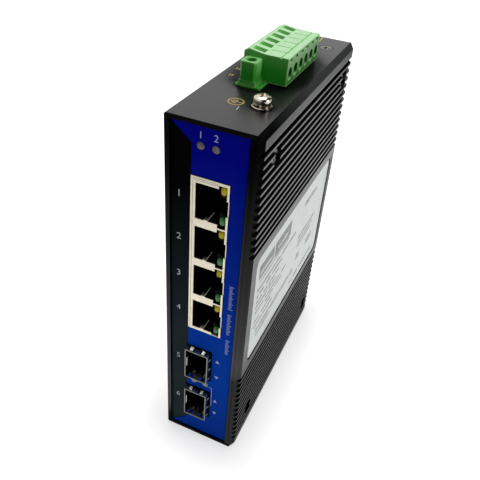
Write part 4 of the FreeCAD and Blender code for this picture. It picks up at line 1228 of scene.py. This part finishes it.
def white_share(nodes):
    """One for rays from the camera, gloss and clear pieces, and nothing for the light on the object."""
    path = nodes.add("LightPath")
    rays = ("Is Camera Ray", "Is Glossy Ray", "Is Transmission Ray")
    return nodes.combine("MAXIMUM", *[path.outputs[ray] for ray in rays])


def case_distance(nodes):
    """Distance from the case's footprint, which lies evenly about the origin."""
    half = (case_high - case_low) / 2
    beyond = nodes.vector("SUBTRACT", nodes.vector("ABSOLUTE", nodes.place()), half)
    return nodes.vector("LENGTH", nodes.vector("MAXIMUM", beyond))


def floor_material():
    """Pale table to the light, and to the eye white with the object's shadow and a painted shadow, as its
    glow is weaker near the case.
    """
    table = Finish("pale_floor", (0, 0, 0), FLOOR_ROUGHNESS, level=0.0)
    table.fix("Base Color", grey(FLOOR_COLOUR))
    glow = table.add("Emission")
    rise = [end * MM for end in FLOOR_RISE]
    # Painted shadow: the glow grows from near the case outwards.
    table.join(table.number(case_distance(table), rise, *FLOOR_WHITE), glow.inputs["Strength"])
    shaded = table.add("BsdfDiffuse", color=grey(FLOOR_SHADED))
    both = table.add("AddShader")
    table.join(shaded.outputs["BSDF"], both.inputs[0])
    table.join(glow.outputs["Emission"], both.inputs[1])
    look = table.mixed(white_share(table), table.shader.outputs["BSDF"], both.outputs["Shader"])
    table.join(look, table.tree.nodes["Material Output"].inputs["Surface"])
    return table.material


def make_floor():
    """Table that ends a little ahead of the object."""
    mesh = bpy.data.meshes.new("floor")
    side = FLOOR_REACH * MM
    near = case_low.y - FLOOR_FRONT * MM
    corners = [(-side, near, 0), (side, near, 0), (side, side, 0), (-side, side, 0)]
    mesh.from_pydata(corners, [], [(0, 1, 2, 3)])
    mesh.materials.append(floor_material())
    floor = add_object("floor", mesh)


def reflected_room(nodes):
    """Brightness of the room: white for the camera; for gloss dim at the right and below."""
    place = nodes.place("Generated")
    sideways = nodes.number(nodes.part(place, "X"), BRIGHT_SIDE, DIM_SIDE, 1.0, "SMOOTHSTEP")
    upwards = nodes.number(nodes.part(place, "Z"), HORIZON, DIM_SIDE, 1.0, "SMOOTHSTEP")
    eye = nodes.add("LightPath").outputs["Is Camera Ray"]
    return nodes.combine("MAXIMUM", nodes.combine("MINIMUM", sideways, upwards), eye)


def make_world():
    """White to the eye and in reflections, and an even dim light on the object."""
    world = bpy.data.worlds.new("studio")
    bpy.context.scene.world = world
    world.use_nodes = True
    nodes = Nodes(world.node_tree)
    nodes.tree.nodes.clear()
    soft = nodes.add("Background", color=grey(1), strength=AMBIENT)
    white = nodes.add("Background", color=grey(1))
    out = nodes.add("OutputWorld")
    nodes.join(reflected_room(nodes), white.inputs["Strength"])
    look = nodes.mixed(white_share(nodes), soft.outputs["Background"], white.outputs["Background"])
    nodes.join(look, out.inputs["Surface"])


def make_lamps():
    """Large soft lamps round the object."""
    aim = Vector(LAMP_AIM) * MM
    for name, (place, side, power) in LAMPS.items():
        lamp = bpy.data.lights.new(name, "AREA")
        lamp.shape = "SQUARE"
        lamp.size = side * MM
        lamp.energy = power
        holder = add_object(name, lamp)
        holder.location = Vector(place) * MM
        holder.rotation_mode = "QUATERNION"
        holder.rotation_quaternion = (aim - holder.location).to_track_quat("-Z", "Y")


def make_camera():
    """Camera at the photograph's place."""
    lens = bpy.data.cameras.new("camera")
    lens.sensor_width = SENSOR_WIDTH
    lens.lens = FOCAL_PIXELS * SENSOR_WIDTH / PHOTO_PIXELS
    lens.clip_start, lens.clip_end = CAMERA_CLIP
    camera = add_object("camera", lens)
    turn = Matrix((CAMERA_RIGHT, CAMERA_UP, CAMERA_BACK)).transposed().to_4x4()
    camera.matrix_world = Matrix.Translation(Vector(CAMERA_PLACE) * MM) @ turn
    bpy.context.scene.camera = camera


bpy.context.scene.view_settings.view_transform = "Standard"
make_camera()
make_world()
make_lamps()
make_floor()

finishes = make_finishes()
slot_of = {part["node"]: part["material_slot"] for part in frame["record"]["subparts"]}
for node, thing in frame["nodes"].items():
    thing.data.materials.clear()
    thing.data.materials.append(finishes.get(node, finishes[slot_of[node]]))
for node in SOFT_EDGES:
    soften(node, finishes[slot_of[node]])

nickel = finishes["nickel_screw"]
blued = finishes["cover_screws"]
make_screws("ground_screw_head", "ground_screw", AXIS_Z, pan_profile, nickel)
make_screws("case_screw_head", "case_screw", AXIS_Z, sunk_profile, finishes["black_screw"])
make_screws("cover_screw_heads", "cover_screws", AXIS_X, sunk_profile, blued)
make_screws("rail_screw_heads", "rail_screws", AXIS_Y, sunk_profile, finishes["zinc_steel"])
make_spring_washer(nickel, make_flat_washer(nickel))
make_round_lamps("status_domes", "status_lamps", finishes["clear_lens"])
make_round_lamps("link_domes", "link_lamps", finishes["frosted_lens"])
make_jack_lamps("yellow_domes", "jack_yellow_lamps", finishes["yellow_lens"])
make_jack_lamps("green_domes", "jack_green_lamps", finishes["green_lens"])
make_port_figures(finishes["grey_print"])
make_film_print(finishes["pale_print"])
make_top_print(finishes)
make_label_print(finishes)
make_tab_edge_highlights(finishes["painted_glint"])
make_strip_highlights(finishes["painted_glint"])
